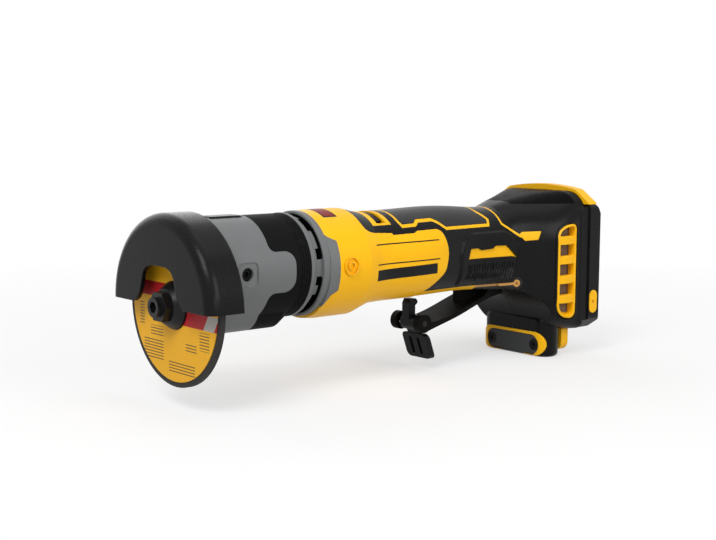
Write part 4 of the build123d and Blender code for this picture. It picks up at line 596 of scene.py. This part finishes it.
def two_shot(material):
    """Turns the yellow shell black under the handle, apart from a stripe that ends in a small ring."""
    tree, shader, coords = open_material(material)
    centre = place(STRIPE_RING_X, 0, STRIPE_RING_Z)
    offset = add_node(tree, "ShaderNodeVectorMath", {"operation": "SUBTRACT", 1: centre}, {0: coords})
    split = add_node(tree, "ShaderNodeSeparateXYZ", {}, {"Vector": offset.outputs["Vector"]})
    flat = add_node(tree, "ShaderNodeCombineXYZ", {}, {"X": split.outputs["X"], "Z": split.outputs["Z"]})
    reach = add_node(tree, "ShaderNodeVectorMath", {"operation": "LENGTH"}, {0: flat.outputs["Vector"]})
    ring = add_node(
        tree,
        "ShaderNodeMath",
        {
            "operation": "COMPARE",
            1: (STRIPE_RING_OUTER + STRIPE_RING_INNER) / 2 * MM,
            2: (STRIPE_RING_OUTER - STRIPE_RING_INNER) / 2 * MM,
        },
        {0: reach.outputs["Value"]},
    )
    beyond = add_node(
        tree,
        "ShaderNodeMath",
        {"operation": "GREATER_THAN", 1: STRIPE_RING_OUTER * MM},
        {0: reach.outputs["Value"]},
    )
    ahead = add_node(tree, "ShaderNodeMath", {"operation": "LESS_THAN", 1: 0.0}, {0: split.outputs["X"]})
    level = add_node(
        tree,
        "ShaderNodeMath",
        {
            "operation": "COMPARE",
            1: ((STRIPE_LOW + STRIPE_HIGH) / 2 - STRIPE_RING_Z) * MM,
            2: (STRIPE_HIGH - STRIPE_LOW) / 2 * MM,
        },
        {0: split.outputs["Z"]},
    )
    stripe = add_node(tree, "ShaderNodeMath", {"operation": "MULTIPLY"}, {0: ahead, 1: level})
    line = add_node(tree, "ShaderNodeMath", {"operation": "MULTIPLY"}, {0: stripe, 1: beyond})
    kept = add_node(tree, "ShaderNodeMath", {"operation": "MAXIMUM"}, {0: ring, 1: line})
    low = add_node(
        tree,
        "ShaderNodeMath",
        {"operation": "LESS_THAN", 1: (STRIPE_ZONE_TOP - STRIPE_RING_Z) * MM},
        {0: split.outputs["Z"]},
    )
    behind = add_node(
        tree,
        "ShaderNodeMath",
        {"operation": "GREATER_THAN", 1: (STRIPE_ZONE_FRONT - STRIPE_RING_X) * MM},
        {0: split.outputs["X"]},
    )
    zone = add_node(tree, "ShaderNodeMath", {"operation": "MULTIPLY"}, {0: low, 1: behind})
    free = add_node(tree, "ShaderNodeMath", {"operation": "SUBTRACT", 0: 1.0}, {1: kept})
    black = add_node(tree, "ShaderNodeMath", {"operation": "MULTIPLY"}, {0: zone, 1: free})
    tint = add_node(
        tree,
        "ShaderNodeMix",
        {"data_type": "RGBA", MIX_B: linear("#101011")},
        {0: black, MIX_A: shader.inputs["Base Color"].links[0].from_socket},
    )
    # The stripe is thin there and faces down, so it and its ring are painted a dull tan as shade
    stripe_shade_mask = add_node(tree, "ShaderNodeMath", {"operation": "MULTIPLY"}, {0: kept, 1: zone})
    stripe_shade = add_node(
        tree,
        "ShaderNodeMix",
        {"data_type": "RGBA", MIX_B: linear("#c08f4e")},
        {0: stripe_shade_mask, MIX_A: tint.outputs[MIX_OUT]},
    )
    # The ring's eye is a shallow pocket of the same yellow, in shade
    eye = add_node(
        tree,
        "ShaderNodeMath",
        {"operation": "LESS_THAN", 1: STRIPE_RING_INNER * MM},
        {0: reach.outputs["Value"]},
    )
    shaded = add_node(
        tree,
        "ShaderNodeMix",
        {"data_type": "RGBA", MIX_B: linear("#8a5a1e")},
        {0: eye, MIX_A: stripe_shade.outputs[MIX_OUT]},
    )
    tree.links.new(shaded.outputs[MIX_OUT], shader.inputs["Base Color"])


shell_nylon = moulded("glass_filled_nylon_two_shot_moulded", *YELLOW)
two_shot(shell_nylon)
# The vent ring's grey nylon, with shade painted black into its unlit inside and along its channel
vent_nylon_shaded = moulded("glass_filled_nylon_grey_vented", *GREY)
shade_vents(vent_nylon_shaded)
dot_foot(soft_grip)
abrasive = bonded_abrasive()
paper_label = printed_paper()
red_film = bordered_film()

finishes = {
    abrasive: ["cutting_wheel"],
    paper_label: ["wheel_label"],
    black_steel: ["outer_flange", "clamp_screw", "inner_flange", "paddle_pin", "lock_lever_pin"],
    socket_steel: ["nose_screws", "cover_screws", "housing_screws"],
    guard_paint: ["wheel_guard"],
    steel: [
        "spindle", "spindle_gear", "spindle_front_bearing", "spindle_rear_bearing", "guard_retainer",
        "retainer_screws", "spindle_lock_spring", "motor_front_bearing", "motor_rear_bearing",
        "motor_shaft", "motor_pinion", "paddle_spring", "lock_lever_spring",
    ],
    lamination: ["stator_core", "rotor_core"],
    copper: ["stator_windings"],
    brass: ["terminal_blades"],
    cast_alloy: ["gear_case", "gear_plate"],
    grey_nylon: ["nose_shell"],
    vent_nylon_shaded: ["vent_ring"],
    dark_nylon: ["cover_plate"],
    black_nylon: [
        "spindle_lock_button", "motor_end_cap", "motor_fan", "switch_body", "switch_plunger",
        "battery_receiver", "terminal_block", "lock_lever", "direction_selector",
    ],
    paddle_nylon: ["paddle"],
    shell_nylon: ["housing_left", "housing_right"],
    yellow_nylon: [
        "vent_grille_left", "vent_grille_right", "foot_strip", "bay_frame", "latch_catch", "side_plugs",
    ],
    soft_grip: ["grip_left", "grip_right"],
    collar_rubber: ["nose_collar"],
    crown_rubber: ["crown_pad_left", "crown_pad_right"],
    red_film: ["direction_label"],
    circuit: ["controller"],
}
for finish, names in finishes.items():
    for name in names:
        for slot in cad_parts[name].material_slots:
            slot.material = finish


# Modelling by hand: points are chosen by their place, then pushed, smoothed, laid on a shell or cut

# How far beside the tool a flat piece starts, and the points round a band between two outlines
FLANK_CLEAR = 60.0
RING_POINTS = 160

# Points closer than this are one, and faces that meet at a smaller angle than this are shaded as one
WELD_MM = 0.001
SMOOTH_ANGLE = math.radians(40)


def choose(piece, wanted):
    """Makes a piece the active one and selects the points whose station answers a test."""
    bpy.ops.object.select_all(action="DESELECT")
    piece.select_set(True)
    bpy.context.view_layer.objects.active = piece
    bpy.context.tool_settings.mesh_select_mode = (True, False, False)
    for part in (piece.data.polygons, piece.data.edges):
        for member in part:
            member.select = False
    for point in piece.data.vertices:
        point.select = bool(wanted(*station(point.co)))


def everywhere(x, y, z):
    """The test that every point answers."""
    return True


def edit_all(piece):
    """Opens a piece for editing with all of it selected."""
    choose(piece, everywhere)
    bpy.ops.object.mode_set(mode="EDIT")
    bpy.ops.mesh.select_all(action="SELECT")


def weld(piece):
    """Merges the points that lie at one place."""
    edit_all(piece)
    bpy.ops.mesh.remove_doubles(threshold=WELD_MM * MM)
    bpy.ops.object.mode_set(mode="OBJECT")


def join(pieces):
    """Joins pieces into the first of them."""
    bpy.ops.object.select_all(action="DESELECT")
    for piece in pieces:
        piece.select_set(True)
    bpy.context.view_layer.objects.active = pieces[0]
    if len(pieces) > 1:
        bpy.ops.object.join()
    return pieces[0]


def push(piece, wanted, amount_mm):
    """Moves the chosen points out along their normals, or in where the amount is negative."""
    choose(piece, wanted)
    bpy.ops.object.mode_set(mode="EDIT")
    bpy.ops.transform.shrink_fatten(value=amount_mm * MM)
    bpy.ops.object.mode_set(mode="OBJECT")


def relax(piece, wanted, rounds):
    """Smooths the chosen points towards their neighbours."""
    choose(piece, wanted)
    bpy.ops.object.mode_set(mode="EDIT")
    bpy.ops.mesh.vertices_smooth(factor=0.5, repeat=rounds)
    bpy.ops.object.mode_set(mode="OBJECT")


def apply_modifier(piece, kind, **settings):
    """Adds one modifier with its settings and applies it."""
    choose(piece, everywhere)
    step = piece.modifiers.new(kind.lower(), kind)
    for key, value in settings.items():
        setattr(step, key, value)
    bpy.ops.object.modifier_apply(modifier=step.name)


def thicken(piece, wall_mm):
    """Gives a sheet its wall, on the side away from its face."""
    apply_modifier(piece, "SOLIDIFY", thickness=wall_mm * MM, offset=-1.0)


def round_edges(piece, width_mm):
    """Rounds the sharp edges of a piece."""
    apply_modifier(piece, "BEVEL", width=width_mm * MM, segments=2, limit_method="ANGLE")


def side_grid(name, x_low, x_high, z_low, z_high, cell_mm):
    """A flat grid beside the tool's left flank, facing away from it."""
    bpy.ops.object.select_all(action="DESELECT")
    bpy.ops.mesh.primitive_grid_add(
        x_subdivisions=max(1, round((x_high - x_low) / cell_mm)),
        y_subdivisions=max(1, round((z_high - z_low) / cell_mm)),
        size=1.0,
        location=place((x_low + x_high) / 2, -FLANK_CLEAR, (z_low + z_high) / 2),
        rotation=(math.pi / 2, 0, 0),
    )
    grid = bpy.context.object
    grid.name = name
    grid.scale = ((x_high - x_low) * MM, (z_high - z_low) * MM, 1.0)
    bpy.ops.object.transform_apply(location=True, rotation=True, scale=True)
    return grid


def shell_twin(names):
    """A merged copy of CAD shells, on which pieces are laid before it is thrown away."""
    twins = []
    for name in names:
        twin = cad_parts[name].copy()
        twin.data = twin.data.copy()
        bpy.context.collection.objects.link(twin)
        twins.append(twin)
    shell = join(twins)
    weld(shell)
    return shell


def lay_on(piece, shell, proud_mm):
    """Moves every point of a piece straight across onto a shell's left flank, standing a little proud."""
    apply_modifier(
        piece, "SHRINKWRAP", target=shell, wrap_method="PROJECT", use_project_y=True, offset=proud_mm * MM
    )


def prism(outline, y_low, y_high):
    """A block across the tool with the given outline, for cutting."""
    bpy.ops.object.select_all(action="DESELECT")
    bpy.ops.mesh.primitive_circle_add(vertices=len(outline), radius=1.0, fill_type="NGON")
    block = bpy.context.object
    for corner, (x, z) in zip(block.data.vertices, outline):
        corner.co = place(x, y_low, z)
    edit_all(block)
    bpy.ops.mesh.extrude_region_move(TRANSFORM_OT_translate={"value": (0, (y_high - y_low) * MM, 0)})
    bpy.ops.mesh.select_all(action="SELECT")
    bpy.ops.mesh.normals_make_consistent(inside=False)
    bpy.ops.object.mode_set(mode="OBJECT")
    return block


def cut_out(piece, outline, y_low, y_high):
    """Cuts a block with the given outline out of a piece."""
    block = prism(outline, y_low, y_high)
    apply_modifier(piece, "BOOLEAN", object=block, operation="DIFFERENCE", solver="EXACT")
    bpy.data.objects.remove(block)


def other_flank(piece, name):
    """A mirrored copy of a left piece for the tool's right flank."""
    twin = piece.copy()
    twin.data = piece.data.copy()
    twin.name = name
    bpy.context.collection.objects.link(twin)
    edit_all(twin)
    bpy.ops.transform.resize(value=(1, -1, 1), center_override=(0, 0, 0))
    bpy.ops.mesh.normals_make_consistent(inside=False)
    bpy.ops.object.mode_set(mode="OBJECT")
    return twin


def spaced_along(outline, count):
    """Points spaced evenly along a closed outline."""
    runs = list(zip(outline, outline[1:] + outline[:1]))
    whole = sum(math.dist(first, last) for first, last in runs)
    points = []
    for step in range(count):
        left = whole * step / count
        for first, last in runs:
            length = math.dist(first, last)
            if left <= length:
                points.append(tuple(a + (b - a) * left / length for a, b in zip(first, last)))
                break
            left -= length
    return points


def flank_ring(name, inner, outer, cuts):
    """A flat band between two outlines beside the tool's left flank, facing away from it."""
    loops = []
    for outline in (inner, outer):
        bpy.ops.object.select_all(action="DESELECT")
        bpy.ops.mesh.primitive_circle_add(vertices=RING_POINTS, radius=1.0, fill_type="NOTHING")
        loop = bpy.context.object
        for corner, (x, z) in zip(loop.data.vertices, spaced_along(outline, RING_POINTS)):
            corner.co = place(x, -FLANK_CLEAR, z)
        loops.append(loop)
    band = join(loops)
    band.name = name
    edit_all(band)
    bpy.ops.mesh.bridge_edge_loops(number_cuts=cuts, interpolation="LINEAR")
    bpy.ops.object.mode_set(mode="OBJECT")
    if band.data.polygons[0].normal.y > 0:
        edit_all(band)
        bpy.ops.mesh.flip_normals()
        bpy.ops.object.mode_set(mode="OBJECT")
    return band


def flat_ring(name, centre, turn, inner_mm, outer_mm, count):
    """A flat ring of count points round a centre, turned from lying level."""
    bpy.ops.object.select_all(action="DESELECT")
    bpy.ops.mesh.primitive_circle_add(
        vertices=count, radius=inner_mm * MM, fill_type="NOTHING", location=centre, rotation=turn
    )
    ring = bpy.context.object
    ring.name = name
    bpy.ops.object.transform_apply(location=True, rotation=True, scale=True)
    edit_all(ring)
    bpy.ops.mesh.extrude_edges_move()
    bpy.ops.transform.resize(value=[outer_mm / inner_mm] * 3, center_override=centre)
    bpy.ops.object.mode_set(mode="OBJECT")
    return ring


def finish_piece(piece, material, body):
    """Shades a finished piece, gives it its material and hands it to its body."""
    choose(piece, everywhere)
    bpy.ops.object.shade_smooth_by_angle(angle=SMOOTH_ANGLE)
    piece.data.materials.clear()
    piece.data.materials.append(material)
    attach(piece, body)


def finish_flanks(piece, right_name, material):
    """Finishes a left piece of the base and makes and finishes its right twin."""
    finish_piece(piece, material, "base")
    twin = other_flank(piece, right_name)
    finish_piece(twin, material, "base")
    return twin


def inside(outline, x, z):
    """Whether a place on the flank lies inside a closed outline."""
    odd = False
    for (x0, z0), (x1, z1) in zip(outline, outline[1:] + outline[:1]):
        if (z0 > z) != (z1 > z) and x < x0 + (z - z0) * (x1 - x0) / (z1 - z0):
            odd = not odd
    return odd


def gap_to(outline, x, z):
    """The shortest distance from a place on the flank to a closed outline."""
    spot = Vector((x, z))
    gaps = []
    for start, end in zip(outline, outline[1:] + outline[:1]):
        run = Vector(end) - Vector(start)
        share = min(1.0, max(0.0, (spot - Vector(start)).dot(run) / run.length_squared))
        gaps.append((spot - Vector(start) - run * share).length)
    return min(gaps)


# Grip pad: a raised cushion of rubber on each flank of the handle, ribbed below and open round the inlay
PAD_OUTLINE = [
    (163.5, -17.0), (164.0, 0.5), (165.5, 5.0), (169.0, 8.6), (173.5, 10.2),
    (199.5, 10.0), (203.5, 8.2), (209.5, 1.5), (207.5, -6.5), (203.5, -17.5),
]
INLAY_WINDOW = [
    (169.4, -5.0), (171.6, 2.1), (178.0, 2.2), (180.4, 0.9), (188.7, 1.2),
    (190.5, 2.7), (199.0, 2.5), (207.3, -4.6), (203.0, -4.3), (170.9, -4.0),
]
PAD_CELL = 0.525
PAD_FRONT = 161.0
PAD_BACK = 211.9
PAD_LOW = -18.4
PAD_HIGH = 12.05
PAD_RISE = 1.25
PAD_SINK = 0.25
PAD_WALL = 1.4
PAD_ROUND = 1.9
# The ribs are whole cells wide, and their ends lie midway between two lines of the grid
RIB_PITCH = 4 * PAD_CELL
RIB_FRONT = PAD_FRONT + 16.5 * PAD_CELL
RIB_BACK = PAD_FRONT + 83.5 * PAD_CELL
RIB_LOW = PAD_LOW + 3.5 * PAD_CELL
RIB_HIGH = PAD_LOW + 22.5 * PAD_CELL
RIB_DEPTH = 0.8
RIB_LEAN = 0.4
RIB_KNEE = -10.0
# Hole in the right pad round the head of a housing screw
SCREW_X = 203.0
SCREW_Z = 8.0
SCREW_CLEAR = 3.4
SCREW_STEPS = 32


def on_pad(x, y, z):
    """Whether a point is on the raised part of the pad."""
    return inside(PAD_OUTLINE, x, z)


def by_pad_edge(x, y, z):
    """Whether a point is in the pad's rounded edge."""
    return gap_to(PAD_OUTLINE, x, z) < PAD_ROUND


def in_rib_groove(x, y, z):
    """Whether a point is in one of the grooves between the ribs, which lean forward at their feet."""
    upright_x = x + RIB_LEAN * max(0.0, RIB_KNEE - z)
    if not (RIB_FRONT < upright_x < RIB_BACK and RIB_LOW < z < RIB_HIGH) or not inside(PAD_OUTLINE, x, z):
        return False
    return gap_to(PAD_OUTLINE, x, z) > PAD_ROUND and (upright_x - RIB_FRONT) % RIB_PITCH < RIB_PITCH / 2


left_shell = shell_twin(["housing_left", "grip_left"])
grip_pad = side_grid("grip_pad_left", PAD_FRONT, PAD_BACK, PAD_LOW, PAD_HIGH, PAD_CELL)
for point in grip_pad.data.vertices:
    point.co.x -= RIB_LEAN * max(0.0, RIB_KNEE - station(point.co)[2]) * MM
lay_on(grip_pad, left_shell, 0.0)
relax(grip_pad, everywhere, 2)
push(grip_pad, on_pad, PAD_RISE)
relax(grip_pad, by_pad_edge, 5)
push(grip_pad, in_rib_groove, -RIB_DEPTH)
push(grip_pad, everywhere, -PAD_SINK)
thicken(grip_pad, PAD_WALL)
cut_out(grip_pad, INLAY_WINDOW, -FLANK_CLEAR, 0.0)
right_pad = other_flank(grip_pad, "grip_pad_right")
screw_ring = []
for step in range(SCREW_STEPS):
    turn = math.tau * step / SCREW_STEPS
    screw_ring.append((SCREW_X + SCREW_CLEAR * math.cos(turn), SCREW_Z + SCREW_CLEAR * math.sin(turn)))
cut_out(right_pad, screw_ring, 0.0, FLANK_CLEAR)
finish_piece(grip_pad, pad_rubber_highlit, "base")
finish_piece(right_pad, pad_rubber_highlit, "base")

# Panel print: two rules and a slanted bar of black ink on each flank
INK_PROUD = 0.06
INK_WALL = 0.2
INK_CELL = 0.6
RULE_FRONT = 101.9
RULE_BACK = 146.8
HIGH_RULE = (8.4, 9.0)
LOW_RULE = (-1.4, -0.8)
SLANT_FRONT = 102.0
SLANT_BACK = 145.0
SLANT_LOW = -8.95
SLANT_HIGH = -3.55
SLANT_CELL = 0.9
SLANT_TURN = math.radians(0.8)
panel_print = side_grid("panel_print_left", RULE_FRONT, RULE_BACK, *HIGH_RULE, INK_CELL)
low_rule = side_grid("panel_rule", RULE_FRONT, RULE_BACK, *LOW_RULE, INK_CELL)
slanted = side_grid("panel_bar", SLANT_FRONT, SLANT_BACK, SLANT_LOW, SLANT_HIGH, SLANT_CELL)
edit_all(slanted)
bpy.ops.transform.rotate(
    value=SLANT_TURN,
    orient_axis="Y",
    center_override=place((SLANT_FRONT + SLANT_BACK) / 2, -FLANK_CLEAR, (SLANT_LOW + SLANT_HIGH) / 2),
)
bpy.ops.object.mode_set(mode="OBJECT")
join([panel_print, low_rule, slanted])
lay_on(panel_print, left_shell, INK_PROUD)
thicken(panel_print, INK_WALL)
finish_flanks(panel_print, "panel_print_right", panel_ink)

# Barrel emblem: two plain raised rings moulded on each flank of the barrel
EMBLEM_X = 83.2
EMBLEM_Z = -0.1
EMBLEM_RISE = 0.28
EMBLEM_WALL = 0.8
EMBLEM_RADII = [(3.9, 4.5), (1.6, 2.1)]
EMBLEM_POINTS = 64
emblem_centre = place(EMBLEM_X, -FLANK_CLEAR, EMBLEM_Z)
emblem_turn = (math.pi / 2, 0, 0)
rings = []
for inner, outer in EMBLEM_RADII:
    rings.append(flat_ring("barrel_emblem_left", emblem_centre, emblem_turn, inner, outer, EMBLEM_POINTS))
emblem = join(rings)
lay_on(emblem, left_shell, EMBLEM_RISE)
thicken(emblem, EMBLEM_WALL)
finish_flanks(emblem, "barrel_emblem_right", yellow_nylon)

bpy.data.objects.remove(left_shell)

# Screw cups: a dark rounded rim round each screw of the bay's cover plate
CUP_X = 228.0
CUP_Y = 16.2
CUP_Z = -56.6
CUP_INNER = 2.5
CUP_OUTER = 3.3
CUP_PROUD = 0.25
CUP_DEPTH = 0.7
CUP_EDGE = 0.18
CUP_POINTS = 48
cup_centre = place(CUP_X - CUP_PROUD, -CUP_Y, CUP_Z)
cup_turn = (0, -math.pi / 2, 0)
cup = flat_ring("cover_screw_cup_left", cup_centre, cup_turn, CUP_INNER, CUP_OUTER, CUP_POINTS)
edit_all(cup)
bpy.ops.mesh.extrude_region_move(TRANSFORM_OT_translate={"value": (CUP_DEPTH * MM, 0, 0)})
bpy.ops.mesh.select_all(action="SELECT")
bpy.ops.mesh.normals_make_consistent(inside=False)
bpy.ops.object.mode_set(mode="OBJECT")
round_edges(cup, CUP_EDGE)
finish_flanks(cup, "cover_screw_cup_right", black_nylon)

# Grille: a slim yellow rim with four bars set a little deeper, in a raised black border
GRILLE_LOW = (228.5, -40.5)
GRILLE_HIGH = (243.1, 12.9)
GRILLE_ROUNDS = [(10.5, 10.0), (10.4, 6.8), (3.4, 3.4), (3.4, 6.0)]
ARC_STEPS = 8
RIM_WIDTH = 1.4
RIM_PROUD = 0.35
RIM_WALL = 4.6
RIM_EDGE = 0.3
BAR_TOP = 3.8
BAR_STEP = 11.0
BAR_HEIGHT = 4.7
BAR_COUNT = 4
BAR_PROUD = -0.3
BAR_WALL = 4.0
FRAME_GAP = 0.4
FRAME_WIDTH = 1.8
FRAME_RISE = 0.9
FRAME_SINK = 0.25
FRAME_ROUND = 0.9
FRAME_CUTS = 7
RIM_CUTS = 2


def grille_edge(margin):
    """Outline of a grille grown by a margin, with a quarter ellipse at each corner."""
    corners = [
        (GRILLE_LOW[0], GRILLE_LOW[1], 1, 1),
        (GRILLE_LOW[0], GRILLE_HIGH[1], 1, -1),
        (GRILLE_HIGH[0], GRILLE_HIGH[1], -1, -1),
        (GRILLE_HIGH[0], GRILLE_LOW[1], -1, 1),
    ]
    outline = []
    for number, ((x, z, inward, upward), (along, up)) in enumerate(zip(corners, GRILLE_ROUNDS)):
        for step in range(ARC_STEPS + 1):
            turn = math.radians(270 - 90 * (number + step / ARC_STEPS))
            outline.append(
                (
                    x + inward * along + (along + margin) * math.cos(turn),
                    z + upward * up + (up + margin) * math.sin(turn),
                )
            )
    return outline


foot_shell = shell_twin(["grip_left", "housing_left"])
grille_plug = shell_twin(["vent_grille_left"])
edit_all(grille_plug)
bpy.ops.mesh.convex_hull()
bpy.ops.object.mode_set(mode="OBJECT")
join([foot_shell, grille_plug])

frame_edge = grille_edge(FRAME_WIDTH)
grille_frame = flank_ring("grille_frame_left", grille_edge(FRAME_GAP), frame_edge, FRAME_CUTS)
lay_on(grille_frame, foot_shell, 0.0)
push(grille_frame, lambda x, y, z: gap_to(frame_edge, x, z) > FRAME_ROUND / 2, FRAME_RISE)
relax(grille_frame, lambda x, y, z: gap_to(frame_edge, x, z) < FRAME_ROUND, 2)
push(grille_frame, everywhere, -FRAME_SINK)
thicken(grille_frame, PAD_WALL)
finish_flanks(grille_frame, "grille_frame_right", soft_grip)

grille_ladder = flank_ring("grille_ladder_left", grille_edge(-RIM_WIDTH), grille_edge(0.0), RIM_CUTS)
lay_on(grille_ladder, foot_shell, RIM_PROUD)
thicken(grille_ladder, RIM_WALL)
round_edges(grille_ladder, RIM_EDGE)
bars = []
for number in range(BAR_COUNT):
    middle = BAR_TOP - number * BAR_STEP
    bar = side_grid(
        "grille_bar",
        GRILLE_LOW[0] + RIM_WIDTH / 2,
        GRILLE_HIGH[0] - RIM_WIDTH / 2,
        middle - BAR_HEIGHT / 2,
        middle + BAR_HEIGHT / 2,
        RIM_WIDTH / 2,
    )
    lay_on(bar, foot_shell, BAR_PROUD)
    thicken(bar, BAR_WALL)
    round_edges(bar, RIM_EDGE)
    bars.append(bar)
join([grille_ladder] + bars)
right_ladder = finish_flanks(grille_ladder, "grille_ladder_right", yellow_nylon)
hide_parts("vent_grille_left")
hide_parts("vent_grille_right")
bpy.data.objects.remove(foot_shell)

# Vent gauze: a fine dished screen a few millimetres inside each grille
GAUZE_FRONT = 229.4
GAUZE_BACK = 244.4
GAUZE_LOW = -40.4
GAUZE_HIGH = 10.6
GAUZE_CELL = 1.0
GAUZE_Y = -28.9
GAUZE_WALL = 0.4
DISH_X = 237.0
DISH_Z = -14.1
DISH_HALF_X = 5.0
DISH_HALF_Z = 22.0
DISH_DEPTH = 0.5


def in_dish(x, y, z):
    """Whether a point is in the middle of the gauze, which is pressed in."""
    return abs(x - DISH_X) < DISH_HALF_X and abs(z - DISH_Z) < DISH_HALF_Z


gauze = side_grid("vent_gauze_left", GAUZE_FRONT, GAUZE_BACK, GAUZE_LOW, GAUZE_HIGH, GAUZE_CELL)
edit_all(gauze)
bpy.ops.transform.translate(value=(0, (FLANK_CLEAR + GAUZE_Y) * MM, 0))
bpy.ops.object.mode_set(mode="OBJECT")
push(gauze, in_dish, -DISH_DEPTH)
relax(gauze, everywhere, 6)
thicken(gauze, GAUZE_WALL)
finish_flanks(gauze, "vent_gauze_right", wire_gauze)

# Lock coil: a welded copy of the spring under the spindle lock, in place of the spring itself
coil = bpy.data.objects.new("spindle_lock_coil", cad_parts["spindle_lock_spring"].data.copy())
bpy.context.collection.objects.link(coil)
weld(coil)
finish_piece(coil, steel, "base")
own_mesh(coil)
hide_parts("spindle_lock_spring")

# Camera at the photograph's angle
FOCAL_PX = 1239.621
IMAGE_WIDTH = 716
SENSOR_MM = 36.0
AZIMUTH = math.radians(-40.385)
ELEVATION = math.radians(6.852)
ROLL = math.radians(0.189)
CAMERA_AT = Vector((-0.426322, -0.481833, 0.13307))
back = Vector(
    (
        math.sin(AZIMUTH) * math.cos(ELEVATION),
        -math.cos(AZIMUTH) * math.cos(ELEVATION),
        math.sin(ELEVATION),
    )
)
level_right = Vector((math.cos(AZIMUTH), math.sin(AZIMUTH), 0))
level_up = back.cross(level_right)
right = level_right * math.cos(ROLL) + level_up * math.sin(ROLL)
up = back.cross(right)
lens = bpy.data.cameras.new("photo_camera")
lens.sensor_width = SENSOR_MM
lens.lens = FOCAL_PX * SENSOR_MM / IMAGE_WIDTH
lens.clip_start = 0.01
camera = bpy.data.objects.new("photo_camera", lens)
camera.matrix_world = Matrix.Translation(CAMERA_AT) @ Matrix((right, up, back)).transposed().to_4x4()
bpy.context.collection.objects.link(camera)
bpy.context.scene.camera = camera

# Studio: a floor that looks white but throws back less light, a white world and soft lamps


def looked_at(tree):
    """One for rays that see a thing, straight or mirrored, and nought for rays that light the object."""
    ray = add_node(tree, "ShaderNodeLightPath")
    mirrored = add_node(
        tree,
        "ShaderNodeMath",
        {"operation": "MAXIMUM"},
        {0: ray.outputs["Is Glossy Ray"], 1: ray.outputs["Is Transmission Ray"]},
    )
    return add_node(
        tree, "ShaderNodeMath", {"operation": "MAXIMUM"}, {0: ray.outputs["Is Camera Ray"], 1: mirrored}
    ).outputs[0]


FLOOR_RADIUS = 6.0
FLOOR_POINTS = 96
bpy.ops.object.select_all(action="DESELECT")
bpy.ops.mesh.primitive_circle_add(
    vertices=FLOOR_POINTS, radius=FLOOR_RADIUS, fill_type="NGON", location=(0, 0, 0)
)
floor = bpy.context.object
floor.name = "studio_floor"
paint, tree, shader, coords = start_material("studio_floor_painted")
shader.inputs["Roughness"].default_value = 0.8
shader.inputs["Specular IOR Level"].default_value = 0.0
tone = add_node(
    tree,
    "ShaderNodeMix",
    {"data_type": "RGBA", MIX_A: linear("#c4c4c4"), MIX_B: linear("#f6f6f6")},
    {0: looked_at(tree)},
)
tree.links.new(tone.outputs[MIX_OUT], shader.inputs["Base Color"])
reach = add_node(tree, "ShaderNodeVectorMath", {"operation": "LENGTH"}, {0: coords})
fade = add_node(
    tree,
    "ShaderNodeMapRange",
    {"From Min": 0.0, "From Max": 0.6, "To Min": 0.45, "To Max": 1.0},
    {"Value": reach.outputs["Value"]},
)
seen = add_node(
    tree, "ShaderNodeMath", {"operation": "MULTIPLY"}, {0: fade.outputs["Result"], 1: looked_at(tree)}
)
glow = add_node(tree, "ShaderNodeEmission", {"Strength": 1.0})
cover = add_node(tree, "ShaderNodeMixShader", {}, {0: seen, 1: shader, 2: glow})
tree.links.new(cover.outputs[0], tree.nodes["Material Output"].inputs["Surface"])
floor.data.materials.append(paint)

world = bpy.data.worlds.new("studio_world")
bpy.context.scene.world = world
world.use_nodes = True
tree = world.node_tree
light_level = add_node(
    tree, "ShaderNodeMapRange", {"To Min": 0.32, "To Max": 1.0}, {"Value": looked_at(tree)}
)
tree.links.new(light_level.outputs["Result"], tree.nodes["Background"].inputs["Strength"])
tree.nodes["Background"].inputs["Color"].default_value = linear("#ffffff")


def softbox(name, at, target, size, watts):
    """A square soft lamp at one point, turned to face another."""
    lamp = bpy.data.lights.new(name, "AREA")
    lamp.shape = "SQUARE"
    lamp.size = size
    lamp.energy = watts
    holder = bpy.data.objects.new(name, lamp)
    holder.location = at
    holder.rotation_mode = "QUATERNION"
    holder.rotation_quaternion = (Vector(target) - Vector(at)).to_track_quat("-Z", "Y")
    bpy.context.collection.objects.link(holder)


softbox("top_softbox", (0.1, -0.2, 1.1), (0, 0, 0.05), 0.8, 2.0)
softbox("key_softbox", (-0.85, -0.45, 0.9), (0, 0, 0.05), 0.5, 8.0)
softbox("front_softbox", (0.2, -1.3, 0.6), (0, 0, 0.05), 0.7, 7.0)
softbox("edge_softbox", (-0.35, -1.1, 0.22), (-0.1, 0, 0.05), 0.16, 0.9)
softbox("back_softbox", (0.2, 1.3, 0.7), (0, 0, 0.05), 1.5, 8.0)
bpy.context.scene.view_settings.view_transform = "Standard"
